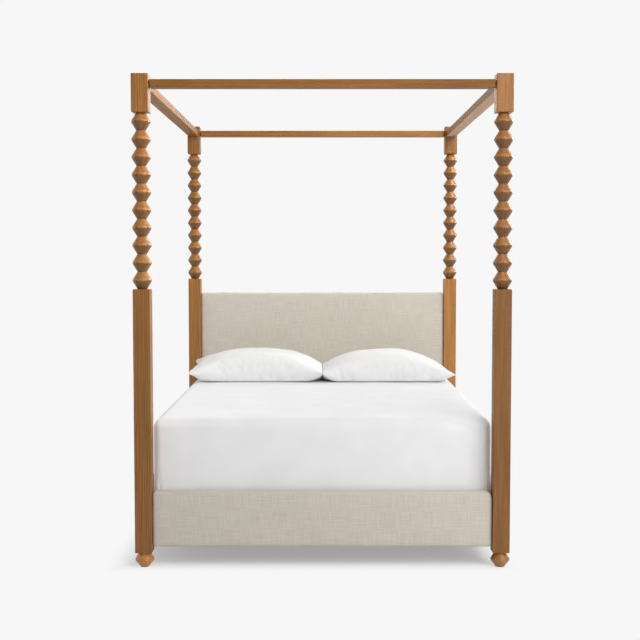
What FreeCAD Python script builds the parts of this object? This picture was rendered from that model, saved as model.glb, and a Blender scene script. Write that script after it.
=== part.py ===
import FreeCAD, Part
import math
import os

from FreeCAD import Placement, Rotation, Vector

# Canopy bed: spool-turned posts with a canopy ring, upholstered headboard, footboard and side rails,
# a slatted base on a centre beam, and a mattress with a fitted sheet and two pillows.
# Millimetres. X runs across the bed, -Y is the foot end, +Z is up, and the origin is on the floor
# at the middle of the bed.

# Overall size, over the outer faces of the posts
BED_WIDTH = 1676.0
BED_LENGTH = 2186.0

# Fits
FIT_CLEARANCE = 0.2
BORE_END_GAP = 0.8
SOFT_CLEARANCE = 0.3

# Feet
GLIDE_DIAMETER = 40.0
GLIDE_THICKNESS = 3.0
FOOT_HEIGHT = 64.0
FOOT_DIAMETER = 84.5
FOOT_BASE_DIAMETER = 44.0
FOOT_NECK_DIAMETER = 52.0
FOOT_NECK_HEIGHT = 4.0
FOOT_RIDGE_RADIUS = 12.0
FOOT_STUD_DIAMETER = 10.0
FOOT_STUD_IN_FOOT = 32.0
FOOT_STUD_IN_POST = 40.0

# Posts
POST_SIDE = 76.0
POST_EDGE_RADIUS = 3.0
POST_ABOVE_HEADBOARD = 88.0
BEAD_COUNT = 10
BEAD_PITCH = 77.7
BEAD_DIAMETER = 85.0
BEAD_VALLEY_DIAMETER = 42.0
BEAD_RIDGE_RADIUS = 14.0
POST_STUD_DIAMETER = 12.0
POST_STUD_DEPTH = 55.0
SPOOL_TENON_DIAMETER = 28.0
SPOOL_TENON_LENGTH = 45.0
BLOCK_HEIGHT = 168.5
BLOCK_EDGE_RADIUS = 4.0

# Canopy rails
CANOPY_RAIL_WIDTH = 62.0
CANOPY_RAIL_HEIGHT = 36.0
CANOPY_RAIL_DROP = 25.5
CANOPY_RAIL_EDGE_RADIUS = 2.5
CANOPY_PLATE_WIDTH = 46.0
CANOPY_PLATE_HEIGHT = 26.0
CANOPY_PLATE_THICKNESS = 4.0
CANOPY_HOOK_SPACING = 20.0
CANOPY_HOOK_HEIGHT = 7.0
CANOPY_HOOK_DROP = 5.0
CANOPY_SCREW_SPACING = 36.0

# Hook plates, shared by the canopy rails and the side rails
RECEIVER_THICKNESS = 3.0
HOOK_THICKNESS = 4.0
HOOK_LIP = 4.0
HOOK_CLEARANCE = 0.4
PLATE_SCREW_DIAMETER = 3.5
PLATE_SCREW_HEAD_DIAMETER = 6.5
PLATE_SCREW_HEAD_HEIGHT = 1.8
PLATE_SCREW_LENGTH = 14.0

# Upholstered panels
PANEL_BOTTOM = 91.0
PANEL_THICKNESS = 52.0
PANEL_INSET = 14.0
PANEL_CORNER_RADIUS = 20.0
PANEL_FACE_RADIUS = 18.0
PANEL_BACK_RADIUS = 4.0
HEADBOARD_HEIGHT = 1069.0
LOW_PANEL_HEIGHT = 250.0
COVER_THICKNESS = 1.5
COVER_BACK_MARGIN = 30.0
FOAM_THICKNESS = 18.0
FOAM_EDGE_THICKNESS = 6.0

# Side rail joints
RAIL_PLATE_WIDTH = 20.0
RAIL_PLATE_HEIGHT = 140.0
RAIL_PLATE_THICKNESS = 4.0
RAIL_HOOK_SPACING = 62.0
RAIL_HOOK_HEIGHT = 22.0
RAIL_HOOK_DROP = 10.0
RAIL_SCREW_SPACING = 124.0

# Bolts that join the headboard and the footboard to the posts
PANEL_BOLT_DIAMETER = 8.0
PANEL_BOLT_LENGTH = 108.0
PANEL_BOLT_HEAD_DIAMETER = 14.0
PANEL_BOLT_HEAD_HEIGHT = 8.0
PANEL_BOLT_INSET = 45.0
PANEL_BOLT_RECESS = 22.0
BARREL_NUT_DIAMETER = 14.0
BARREL_NUT_LENGTH = 22.0
BARREL_NUT_DISTANCE = 32.0
BOLT_PLUG_DIAMETER = 20.0
BOLT_PLUG_THICKNESS = 6.0
HEADBOARD_BOLT_COUNT = 3
FOOTBOARD_BOLT_COUNT = 2

# Slatted base
DECK_BELOW_RAIL_TOP = 34.0
SLAT_COUNT = 14
SLAT_WIDTH = 70.0
SLAT_THICKNESS = 18.0
SLAT_SIDE_CLEARANCE = 3.0
SLAT_EDGE_RADIUS = 3.0
SLAT_END_MARGIN = 30.0
LEDGE_WIDTH = 30.0
LEDGE_HEIGHT = 40.0
LEDGE_END_GAP = 5.0
LEDGE_SCREW_COUNT = 8
LEDGE_SCREW_END_MARGIN = 60.0
WOOD_SCREW_DIAMETER = 4.5
WOOD_SCREW_HEAD_DIAMETER = 9.0
WOOD_SCREW_HEAD_HEIGHT = 2.5
SLAT_SCREW_LENGTH = 35.0
LEDGE_SCREW_LENGTH = 50.0

# Centre beam and legs
BEAM_WIDTH = 45.0
BEAM_HEIGHT = 70.0
BEAM_END_MARGIN = 12.0
LEG_SIDE = 45.0
LEG_SPACING = 1200.0
LEG_EDGE_RADIUS = 2.0
LEG_STUD_DIAMETER = 8.0
LEG_STUD_DEPTH = 40.0
LEVELLER_PAD_DIAMETER = 38.0
LEVELLER_PAD_HEIGHT = 10.0
LEVELLER_PAD_EDGE_RADIUS = 1.5
LEVELLER_STEM_DIAMETER = 8.0
LEVELLER_STEM_LENGTH = 42.0
LEVELLER_RUNNING_CLEARANCE = 0.08
INSERT_DIAMETER = 12.0
INSERT_LENGTH = 16.0

# Mattress and fitted sheet
MATTRESS_SIDE_GAP = 10.0
MATTRESS_END_GAP = 13.0
MATTRESS_HEIGHT = 356.0
MATTRESS_CORNER_RADIUS = 62.0
MATTRESS_TOP_RADIUS = 48.0
MATTRESS_BOTTOM_RADIUS = 24.0
MATTRESS_CROWN = 5.0
MATTRESS_CROWN_REACH = 170.0
MATTRESS_BORDER_BULGE = 3.0
SHEET_THICKNESS = 2.0
SHEET_HEM_RISE = 10.0

# Pillows
PILLOW_OVERHANG = 5.0
PILLOW_DEPTH = 520.0
PILLOW_HEIGHT = 172.0
PILLOW_SEAM_HEIGHT = 62.0
PILLOW_SIDE_DRAW = 20.0
PILLOW_CORNER_RADIUS = 16.0
PILLOW_GAP = 4.0
PILLOW_FROM_HEADBOARD = 136.0

# Levels and places worked out from the sizes above
post_x = BED_WIDTH / 2 - POST_SIDE / 2
post_y = BED_LENGTH / 2 - POST_SIDE / 2
post_gap_x = BED_WIDTH - 2 * POST_SIDE
post_gap_y = BED_LENGTH - 2 * POST_SIDE
foot_z = GLIDE_THICKNESS
post_z = foot_z + FOOT_HEIGHT
spool_z = PANEL_BOTTOM + HEADBOARD_HEIGHT + POST_ABOVE_HEADBOARD
lower_post_length = spool_z - post_z
block_z = spool_z + BEAD_COUNT * BEAD_PITCH
canopy_z = block_z + BLOCK_HEIGHT - CANOPY_RAIL_DROP - CANOPY_RAIL_HEIGHT / 2
footboard_y = -BED_LENGTH / 2 + PANEL_INSET
headboard_y = BED_LENGTH / 2 - POST_SIDE + PANEL_INSET
side_rail_x = BED_WIDTH / 2 - PANEL_INSET
core_thickness = PANEL_THICKNESS - FOAM_THICKNESS - 2 * COVER_THICKNESS
core_face = COVER_THICKNESS + FOAM_THICKNESS
core_middle = core_face + core_thickness / 2
core_back = core_face + core_thickness
deck_z = PANEL_BOTTOM + LOW_PANEL_HEIGHT - DECK_BELOW_RAIL_TOP
slat_z = deck_z - SLAT_THICKNESS
mattress_y = (footboard_y + PANEL_THICKNESS + headboard_y) / 2
mattress_width = 2 * (side_rail_x - PANEL_THICKNESS - MATTRESS_SIDE_GAP)
mattress_length = headboard_y - footboard_y - PANEL_THICKNESS - 2 * MATTRESS_END_GAP
sheet_top = deck_z + MATTRESS_HEIGHT + SHEET_THICKNESS
pillow_length = mattress_width / 2 + PILLOW_OVERHANG - PILLOW_GAP / 2

CORNERS = {
    "front_left": (-1, -1),
    "front_right": (1, -1),
    "rear_left": (-1, 1),
    "rear_right": (1, 1),
}
X_AXIS = Vector(1, 0, 0)
Y_AXIS = Vector(0, 1, 0)
Z_AXIS = Vector(0, 0, 1)


def box(x, y, z):
    """A block from three (low, high) pairs."""
    size = (x[1] - x[0], y[1] - y[0], z[1] - z[0])
    return Part.makeBox(*size, Vector(x[0], y[0], z[0]))


def bar(length, width, height, radius):
    """A bar along X, centred on the origin, with all its edges eased."""
    blank = box((-length / 2, length / 2), (-width / 2, width / 2), (-height / 2, height / 2))
    return blank.makeFillet(radius, blank.Edges).Solids[0]


def rod(diameter, length, start, axis):
    return Part.makeCylinder(diameter / 2, length, start, axis)


def screw(diameter, head_diameter, head_height, length, start, axis):
    """A screw with its head's face at start, driven along axis."""
    head = rod(head_diameter, head_height, start, axis)
    shank = rod(diameter, length - head_height, start + axis * head_height, axis)
    return head.fuse(shank).removeSplitter().Solids[0]


def screw_bore(diameter, head_diameter, head_height, length, start, axis):
    """The hole that such a screw sits in, with its clearance."""
    grown = 2 * FIT_CLEARANCE
    head = rod(head_diameter + grown, head_height, start, axis)
    shank = rod(diameter + grown, length + FIT_CLEARANCE, start, axis)
    return head.fuse(shank)


def placed(shape, at, turn=0.0):
    """A copy of shape, turned about Z and then moved."""
    copy = shape.copy()
    copy.Placement = Placement(Vector(*at), Rotation(Z_AXIS, turn)).multiply(copy.Placement)
    return copy


def cut_all(shape, tools):
    return shape.cut(tools).Solids[0] if tools else shape


def revolved(edges):
    """A solid of revolution about Z from a closed profile in the XZ plane."""
    face = Part.Face(Part.Wire(edges))
    return face.revolve(Vector(0, 0, 0), Z_AXIS, 360)


def line(a, b):
    return Part.LineSegment(a, b).toShape()


def arc(a, middle, b):
    return Part.Arc(a, middle, b).toShape()


def profile_point(radius, z):
    return Vector(radius, 0, z)


def level_outline(half_x, half_y, radius, z, draw=0.0):
    """A closed level wire with rounded corners.

    Its sides are straight, or arcs that are drawn in by draw at their middles, or swell if draw is negative.
    """
    diagonal = radius * (1 - math.sqrt(0.5))
    turns = []
    for sx, sy in ((1, 1), (-1, 1), (-1, -1), (1, -1)):
        on_side = Vector(sx * half_x, sy * (half_y - radius), z)
        on_end = Vector(sx * (half_x - radius), sy * half_y, z)
        middle = Vector(sx * (half_x - diagonal), sy * (half_y - diagonal), z)
        turns.append((on_side, middle, on_end) if sx * sy > 0 else (on_end, middle, on_side))
    side_middles = (
        Vector(0, half_y - draw, z),
        Vector(draw - half_x, 0, z),
        Vector(0, draw - half_y, z),
        Vector(half_x - draw, 0, z),
    )
    edges = []
    for index, (first, middle, last) in enumerate(turns):
        following = turns[(index + 1) % len(turns)][0]
        edges.append(arc(first, middle, last))
        edges.append(arc(last, side_middles[index], following) if draw else line(last, following))
    return Part.Wire(edges)


# Feet and posts


def flank_end(start, ridge, ridge_radius, rise):
    """Where a straight flank runs into a bead's rounded ridge, as a radius and a height above its start.

    The flank starts at radius start, and the ridge's top is at radius ridge, rise above that start.
    """
    inward = ridge - ridge_radius - start
    distance = math.hypot(rise, inward)
    slope = math.atan2(rise, inward) - math.asin(ridge_radius / distance)
    flank = math.sqrt(distance ** 2 - ridge_radius ** 2)
    return start + flank * math.cos(slope), flank * math.sin(slope)


def bun_foot():
    """A turned bun with straight flanks between the glide and the post, bored from above for its stud."""
    base = FOOT_BASE_DIAMETER / 2
    neck = FOOT_NECK_DIAMETER / 2
    ridge = FOOT_DIAMETER / 2
    neck_z = FOOT_HEIGHT - FOOT_NECK_HEIGHT
    ridge_z = neck_z / 2
    low_r, low_rise = flank_end(base, ridge, FOOT_RIDGE_RADIUS, ridge_z)
    high_r, high_rise = flank_end(neck, ridge, FOOT_RIDGE_RADIUS, ridge_z)
    low = profile_point(low_r, low_rise)
    high = profile_point(high_r, neck_z - high_rise)
    bun = revolved([
        line(profile_point(0, 0), profile_point(base, 0)),
        line(profile_point(base, 0), low),
        arc(low, profile_point(ridge, ridge_z), high),
        line(high, profile_point(neck, neck_z)),
        line(profile_point(neck, neck_z), profile_point(neck, FOOT_HEIGHT)),
        line(profile_point(neck, FOOT_HEIGHT), profile_point(0, FOOT_HEIGHT)),
        line(profile_point(0, FOOT_HEIGHT), profile_point(0, 0)),
    ])
    depth = FOOT_STUD_IN_FOOT + BORE_END_GAP
    bore = rod(FOOT_STUD_DIAMETER + 2 * FIT_CLEARANCE, depth, Vector(0, 0, FOOT_HEIGHT - depth), Z_AXIS)
    return bun.cut(bore).Solids[0]


def lower_post():
    """The square lower post, bored for the stud of the foot and the stud of the spool."""
    blank = bar(lower_post_length, POST_SIDE, POST_SIDE, POST_EDGE_RADIUS)
    blank.rotate(Vector(0, 0, 0), Y_AXIS, 90)
    blank.translate(Vector(0, 0, lower_post_length / 2))
    low_depth = FOOT_STUD_IN_POST + BORE_END_GAP
    low = rod(FOOT_STUD_DIAMETER + 2 * FIT_CLEARANCE, low_depth, Vector(0, 0, 0), Z_AXIS)
    depth = POST_STUD_DEPTH + BORE_END_GAP
    high_start = Vector(0, 0, lower_post_length - depth)
    high = rod(POST_STUD_DIAMETER + 2 * FIT_CLEARANCE, depth, high_start, Z_AXIS)
    return cut_all(blank, [low, high])


def spool():
    """The turned upper post: a stack of beads with straight flanks and rounded ridges."""
    half = BEAD_PITCH / 2
    valley = BEAD_VALLEY_DIAMETER / 2
    ridge = BEAD_DIAMETER / 2
    flank_r, flank_z = flank_end(valley, ridge, BEAD_RIDGE_RADIUS, half)
    length = BEAD_COUNT * BEAD_PITCH
    edges = [line(profile_point(0, 0), profile_point(valley, 0))]
    for index in range(BEAD_COUNT):
        z = index * BEAD_PITCH
        low = profile_point(flank_r, z + flank_z)
        high = profile_point(flank_r, z + BEAD_PITCH - flank_z)
        edges.append(line(profile_point(valley, z), low))
        edges.append(arc(low, profile_point(ridge, z + half), high))
        edges.append(line(high, profile_point(valley, z + BEAD_PITCH)))
    edges.append(line(profile_point(valley, length), profile_point(0, length)))
    edges.append(line(profile_point(0, length), profile_point(0, 0)))
    turned = revolved(edges)
    tenon = rod(SPOOL_TENON_DIAMETER, SPOOL_TENON_LENGTH, Vector(0, 0, length), Z_AXIS)
    bore = rod(
        POST_STUD_DIAMETER + 2 * FIT_CLEARANCE, POST_STUD_DEPTH + BORE_END_GAP, Vector(0, 0, 0), Z_AXIS
    )
    return turned.fuse(tenon).cut(bore).Solids[0]


def top_block():
    """The square block on top of a post, bored from below for the spool's tenon."""
    blank = bar(BLOCK_HEIGHT, POST_SIDE, POST_SIDE, BLOCK_EDGE_RADIUS)
    blank.rotate(Vector(0, 0, 0), Y_AXIS, 90)
    blank.translate(Vector(0, 0, BLOCK_HEIGHT / 2))
    bore = rod(
        SPOOL_TENON_DIAMETER + 2 * FIT_CLEARANCE, SPOOL_TENON_LENGTH + BORE_END_GAP, Vector(0, 0, 0), Z_AXIS
    )
    return blank.cut(bore).Solids[0]


# Hook plates: local +X points from the rail into the post, and the post's face is at x = 0


class HookJoint:
    """A hooked plate on a rail's end, the slotted plate in the post, their screws and their pockets."""

    def __init__(self, width, height, thickness, hooks, hook_height, drop, screws):
        self.width = width
        self.height = height
        self.thickness = thickness
        self.hooks = hooks
        self.hook_height = hook_height
        self.drop = drop
        self.screws = screws

    def outline(self, x, grown=0.0):
        half_width = self.width / 2 + grown
        half_height = self.height / 2 + grown
        return box(x, (-half_width, half_width), (-half_height, half_height))

    def screw_set(self, axis, make):
        thickness = (PLATE_SCREW_DIAMETER, PLATE_SCREW_HEAD_DIAMETER)
        lengths = (PLATE_SCREW_HEAD_HEIGHT, PLATE_SCREW_LENGTH)
        return [make(*thickness, *lengths, Vector(0, y, z), axis) for y, z in self.screws]

    def hook_plate(self):
        plate = cut_all(self.outline((-self.thickness, 0)), self.screw_set(-X_AXIS, screw_bore))
        behind = RECEIVER_THICKNESS + HOOK_CLEARANCE
        hooks = []
        for y, z in self.hooks:
            across = (y - HOOK_THICKNESS / 2, y + HOOK_THICKNESS / 2)
            seat = z - self.hook_height / 2
            tongue = box((0, behind + HOOK_LIP), across, (seat, z + self.hook_height / 2))
            lip = box((behind, behind + HOOK_LIP), across, (seat - self.drop, seat))
            hooks += [tongue, lip]
        return plate.fuse(hooks).removeSplitter().Solids[0]

    def receiver_plate(self):
        slots = []
        for y, z in self.hooks:
            half = HOOK_THICKNESS / 2 + HOOK_CLEARANCE
            seat = z - self.hook_height / 2
            top = z + self.hook_height / 2 + self.drop + HOOK_CLEARANCE
            slots.append(box((0, RECEIVER_THICKNESS), (y - half, y + half), (seat, top)))
        plate = self.outline((0, RECEIVER_THICKNESS))
        return cut_all(plate, slots + self.screw_set(X_AXIS, screw_bore))

    def post_pockets(self):
        """What is cut out of the post: the plate's recess, room for the hooks, and screw bores."""
        pockets = [self.outline((0, RECEIVER_THICKNESS), FIT_CLEARANCE)]
        depth = RECEIVER_THICKNESS + 2 * HOOK_CLEARANCE + HOOK_LIP
        for y, z in self.hooks:
            half = HOOK_THICKNESS / 2 + HOOK_CLEARANCE
            reach = self.hook_height / 2 + self.drop + HOOK_CLEARANCE
            pockets.append(box((0, depth), (y - half, y + half), (z - reach, z + reach)))
        return pockets + self.screw_set(X_AXIS, screw_bore)

    def rail_pockets(self):
        return self.screw_set(-X_AXIS, screw_bore)

    def all_screws(self):
        return self.screw_set(X_AXIS, screw) + self.screw_set(-X_AXIS, screw)


canopy_joint = HookJoint(
    CANOPY_PLATE_WIDTH,
    CANOPY_PLATE_HEIGHT,
    CANOPY_PLATE_THICKNESS,
    [(-CANOPY_HOOK_SPACING / 2, 0), (CANOPY_HOOK_SPACING / 2, 0)],
    CANOPY_HOOK_HEIGHT,
    CANOPY_HOOK_DROP,
    [(-CANOPY_SCREW_SPACING / 2, 0), (CANOPY_SCREW_SPACING / 2, 0)],
)
rail_joint = HookJoint(
    RAIL_PLATE_WIDTH,
    RAIL_PLATE_HEIGHT,
    RAIL_PLATE_THICKNESS,
    [(0, -RAIL_HOOK_SPACING / 2), (0, RAIL_HOOK_SPACING / 2)],
    RAIL_HOOK_HEIGHT,
    RAIL_HOOK_DROP,
    [(0, -RAIL_SCREW_SPACING / 2), (0, RAIL_SCREW_SPACING / 2)],
)


def canopy_joint_places():
    """The eight canopy joints: (post corner, place, turn that points into the post)."""
    places = []
    for name, (sx, sy) in CORNERS.items():
        across = (sx * post_gap_x / 2, sy * post_y, canopy_z)
        along = (sx * post_x, sy * post_gap_y / 2, canopy_z)
        places.append((name, across, 0 if sx > 0 else 180))
        places.append((name, along, 90 * sy))
    return places


def rail_joint_places():
    """The four side rail joints, at the middle of the rail's core."""
    x = side_rail_x - core_middle
    z = PANEL_BOTTOM + LOW_PANEL_HEIGHT / 2
    return [(name, (sx * x, sy * post_gap_y / 2, z), 90 * sy) for name, (sx, sy) in CORNERS.items()]


def at_joint(shapes, place, turn):
    return [placed(shape, place, turn) for shape in shapes]


def joint_cuts(joint, places, corner):
    """The pockets that the joints at one corner need in its post."""
    cuts = []
    for name, at, turn in places:
        if name == corner:
            cuts += at_joint(joint.post_pockets(), at, turn)
    return cuts


# Bolts through a post into a panel: local +X points from the post's outer face into the panel


def bolt_tools():
    """The recess, the bolt's bore and the barrel nut's bore, for cutting posts and panels."""
    recess = rod(BOLT_PLUG_DIAMETER + 2 * FIT_CLEARANCE, PANEL_BOLT_RECESS, Vector(0, 0, 0), X_AXIS)
    bore = rod(
        PANEL_BOLT_DIAMETER + 2 * FIT_CLEARANCE,
        PANEL_BOLT_LENGTH + BORE_END_GAP,
        Vector(PANEL_BOLT_RECESS, 0, 0),
        X_AXIS,
    )
    nut_bore = rod(
        BARREL_NUT_DIAMETER + 2 * FIT_CLEARANCE,
        BARREL_NUT_LENGTH / 2 + core_thickness / 2,
        Vector(POST_SIDE + BARREL_NUT_DISTANCE, -BARREL_NUT_LENGTH / 2, 0),
        Y_AXIS,
    )
    return [recess, bore, nut_bore]


def panel_bolt():
    head = rod(
        PANEL_BOLT_HEAD_DIAMETER,
        PANEL_BOLT_HEAD_HEIGHT,
        Vector(PANEL_BOLT_RECESS - PANEL_BOLT_HEAD_HEIGHT, 0, 0),
        X_AXIS,
    )
    shank = rod(PANEL_BOLT_DIAMETER, PANEL_BOLT_LENGTH, Vector(PANEL_BOLT_RECESS, 0, 0), X_AXIS)
    return head.fuse(shank).removeSplitter().Solids[0]


def barrel_nut():
    middle = POST_SIDE + BARREL_NUT_DISTANCE
    nut = rod(BARREL_NUT_DIAMETER, BARREL_NUT_LENGTH, Vector(middle, -BARREL_NUT_LENGTH / 2, 0), Y_AXIS)
    start = Vector(middle - BARREL_NUT_DIAMETER, 0, 0)
    bore = rod(PANEL_BOLT_DIAMETER + 2 * FIT_CLEARANCE, 2 * BARREL_NUT_DIAMETER, start, X_AXIS)
    return nut.cut(bore).Solids[0]


def bolt_plug():
    return rod(BOLT_PLUG_DIAMETER, BOLT_PLUG_THICKNESS, Vector(0, 0, 0), X_AXIS)


def bolt_places(panel_y, height, count):
    """Each bolt of one panel as (side, place, turn), in a row up both of its ends."""
    step = (height - 2 * PANEL_BOLT_INSET) / (count - 1)
    places = []
    for side in (-1, 1):
        for index in range(count):
            z = PANEL_BOTTOM + PANEL_BOLT_INSET + index * step
            places.append(((side * BED_WIDTH / 2, panel_y + core_middle, z), 180 if side > 0 else 0))
    return places


def bolt_shapes(make, places):
    """Shapes for all the places; on the far side they are turned and kept facing the panel's back."""
    shapes = []
    for at, turn in places:
        for shape in make():
            if turn:
                shape = shape.mirror(Vector(0, 0, 0), X_AXIS)
            shapes.append(placed(shape, at))
    return shapes


footboard_bolts = bolt_places(footboard_y, LOW_PANEL_HEIGHT, FOOTBOARD_BOLT_COUNT)
headboard_bolts = bolt_places(headboard_y, HEADBOARD_HEIGHT, HEADBOARD_BOLT_COUNT)
all_bolts = footboard_bolts + headboard_bolts


# Upholstered panels: local X along the panel, y = 0 at the show face, z = 0 at the lower edge


def slab(length, height, back, face=0.0, corner=0.0, face_radius=0.0, back_radius=0.0):
    """A rounded slab, centred on X, from y = face to y = back."""
    wire = level_outline(length / 2, height / 2, corner, 0)
    blank = Part.Face(wire).extrude(Vector(0, 0, face - back))
    blank.rotate(Vector(0, 0, 0), X_AXIS, 90)
    blank.translate(Vector(0, face, 0))
    for y, radius in ((face, face_radius), (back, back_radius)):
        if radius:
            blank = blank.makeFillet(radius, [edge for edge in blank.Edges if lies_at(edge.BoundBox, y)])
    return blank.Solids[0]


def lies_at(bounds, y):
    return abs(bounds.YMin - y) + abs(bounds.YMax - y) < FIT_CLEARANCE


def panel(length, height):
    """Core, foam, cover and the window in the cover's back, of one upholstered panel."""
    wrap = COVER_THICKNESS
    outer = slab(
        length, height, PANEL_THICKNESS, 0, PANEL_CORNER_RADIUS, PANEL_FACE_RADIUS, PANEL_BACK_RADIUS
    )
    inner = slab(
        length - 2 * wrap,
        height - 2 * wrap,
        PANEL_THICKNESS - wrap,
        wrap,
        PANEL_CORNER_RADIUS - wrap,
        PANEL_FACE_RADIUS - wrap,
        PANEL_BACK_RADIUS - wrap,
    )
    core_height = height - 2 * wrap - 2 * FOAM_EDGE_THICKNESS
    core = slab(length - 2 * RAIL_PLATE_THICKNESS, core_height, core_back, core_face, PANEL_CORNER_RADIUS)
    margin = 2 * COVER_BACK_MARGIN
    window = slab(length - margin, height - margin, PANEL_THICKNESS, core_back, PANEL_CORNER_RADIUS)
    shapes = {
        "core": core,
        "foam": inner.cut(core).Solids[0],
        "cover": outer.cut([inner, window]).Solids[0],
        "window": window,
    }
    for shape in shapes.values():
        shape.translate(Vector(0, 0, height / 2))
    return shapes


def placed_panel(length, height, x, y, turn):
    at = (x, y, PANEL_BOTTOM)
    return {name: placed(shape, at, turn) for name, shape in panel(length, height).items()}


# Soft forms: a stack of level outlines joined by straight surfaces


def soft_block(width, length, height, corner, top_radius, bottom_radius, bulge):
    """A mattress form: rounded lower and upper edges, a swelling border and a crowned top."""
    shoulder = height - MATTRESS_CROWN
    levels = []
    for angle in (0, 45, 90):
        a = math.radians(angle)
        levels.append((bulge + bottom_radius * (1 - math.sin(a)), bottom_radius * (1 - math.cos(a))))
    levels.append((0, (bottom_radius + shoulder - top_radius) / 2))
    for angle in (0, 22.5, 45, 67.5, 90):
        a = math.radians(angle)
        levels.append((bulge + top_radius * (1 - math.cos(a)), shoulder - top_radius * (1 - math.sin(a))))
    inner = bulge + top_radius
    levels.append((inner + MATTRESS_CROWN_REACH / 3, shoulder + MATTRESS_CROWN * 0.6))
    levels.append((inner + MATTRESS_CROWN_REACH, height))
    least = corner / 3
    wires = [
        level_outline(width / 2 - inset, length / 2 - inset, max(corner - inset, least), z)
        for inset, z in levels
    ]
    return Part.makeLoft(wires, True, True).Solids[0]


def pillow():
    """A plump pillow on its flat underside: swelling crown, drawn-in sides and corner points at the seam."""
    under = PILLOW_SEAM_HEIGHT
    over = PILLOW_HEIGHT - PILLOW_SEAM_HEIGHT
    slim = min(pillow_length, PILLOW_DEPTH) / 2
    # each level: share of the height below or above the seam, inset and draw as shares of the half depth,
    # and the corner's growth
    below = [(1.0, 0.36, -0.05, 4.0), (0.78, 0.2, -0.03, 3.2), (0.42, 0.08, 0.03, 1.8)]
    above = [
        (0.3, 0.08, 0.03, 2.0),
        (0.6, 0.22, -0.03, 3.6),
        (0.84, 0.42, -0.05, 4.6),
        (1.0, 0.7, -0.06, 3.0),
    ]
    levels = [(under * (1 - share), inset, draw, growth) for share, inset, draw, growth in below]
    levels.append((under, 0.0, PILLOW_SIDE_DRAW / slim, 1.0))
    levels += [(under + over * share, inset, draw, growth) for share, inset, draw, growth in above]
    wires = [
        level_outline(
            pillow_length / 2 - inset * slim,
            PILLOW_DEPTH / 2 - inset * slim,
            PILLOW_CORNER_RADIUS * growth,
            z,
            draw * slim,
        )
        for z, inset, draw, growth in levels
    ]
    return Part.makeLoft(wires, True, True).Solids[0]


# Sub-assemblies, each adding its nodes


nodes = {}


def add_posts():
    """Glides, feet, lower posts, spools, top blocks and the studs that join them."""
    glides = []
    foot_studs = []
    post_studs = []
    canopy_places = canopy_joint_places()
    rail_places = rail_joint_places()
    bolt_cuts = bolt_shapes(bolt_tools, all_bolts)
    for name, (sx, sy) in CORNERS.items():
        x = sx * post_x
        y = sy * post_y
        glides.append(rod(GLIDE_DIAMETER, GLIDE_THICKNESS, Vector(x, y, 0), Z_AXIS))
        nodes["foot_" + name] = placed(bun_foot(), (x, y, foot_z))
        foot_stud_length = FOOT_STUD_IN_FOOT + FOOT_STUD_IN_POST
        foot_stud_start = Vector(x, y, post_z - FOOT_STUD_IN_FOOT)
        foot_studs.append(rod(FOOT_STUD_DIAMETER, foot_stud_length, foot_stud_start, Z_AXIS))
        post_cuts = joint_cuts(rail_joint, rail_places, name) + bolt_cuts
        nodes["lower_post_" + name] = cut_all(placed(lower_post(), (x, y, post_z)), post_cuts)
        nodes["spool_" + name] = placed(spool(), (x, y, spool_z))
        post_stud_start = Vector(x, y, spool_z - POST_STUD_DEPTH)
        post_studs.append(rod(POST_STUD_DIAMETER, 2 * POST_STUD_DEPTH, post_stud_start, Z_AXIS))
        block_cuts = joint_cuts(canopy_joint, canopy_places, name)
        nodes["top_block_" + name] = cut_all(placed(top_block(), (x, y, block_z)), block_cuts)
    nodes["foot_glides"] = Part.Compound(glides)
    nodes["foot_studs"] = Part.Compound(foot_studs)
    nodes["post_studs"] = Part.Compound(post_studs)


def add_canopy():
    """The four canopy rails with their hook plates."""
    places = canopy_joint_places()
    plate_cuts = sum([at_joint(canopy_joint.rail_pockets(), at, turn) for _, at, turn in places], [])
    reveal = 2 * CANOPY_PLATE_THICKNESS
    across = bar(post_gap_x - reveal, CANOPY_RAIL_WIDTH, CANOPY_RAIL_HEIGHT, CANOPY_RAIL_EDGE_RADIUS)
    along = bar(post_gap_y - reveal, CANOPY_RAIL_WIDTH, CANOPY_RAIL_HEIGHT, CANOPY_RAIL_EDGE_RADIUS)
    rails = {
        "front": placed(across, (0, -post_y, canopy_z)),
        "rear": placed(across, (0, post_y, canopy_z)),
        "left": placed(along, (-post_x, 0, canopy_z), 90),
        "right": placed(along, (post_x, 0, canopy_z), 90),
    }
    for name, rail in rails.items():
        nodes["canopy_rail_" + name] = cut_all(rail, plate_cuts)
    hooks = [placed(canopy_joint.hook_plate(), at, turn) for _, at, turn in places]
    receivers = [placed(canopy_joint.receiver_plate(), at, turn) for _, at, turn in places]
    nodes["canopy_hook_plates"] = Part.Compound(hooks)
    nodes["canopy_receiver_plates"] = Part.Compound(receivers)


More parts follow.
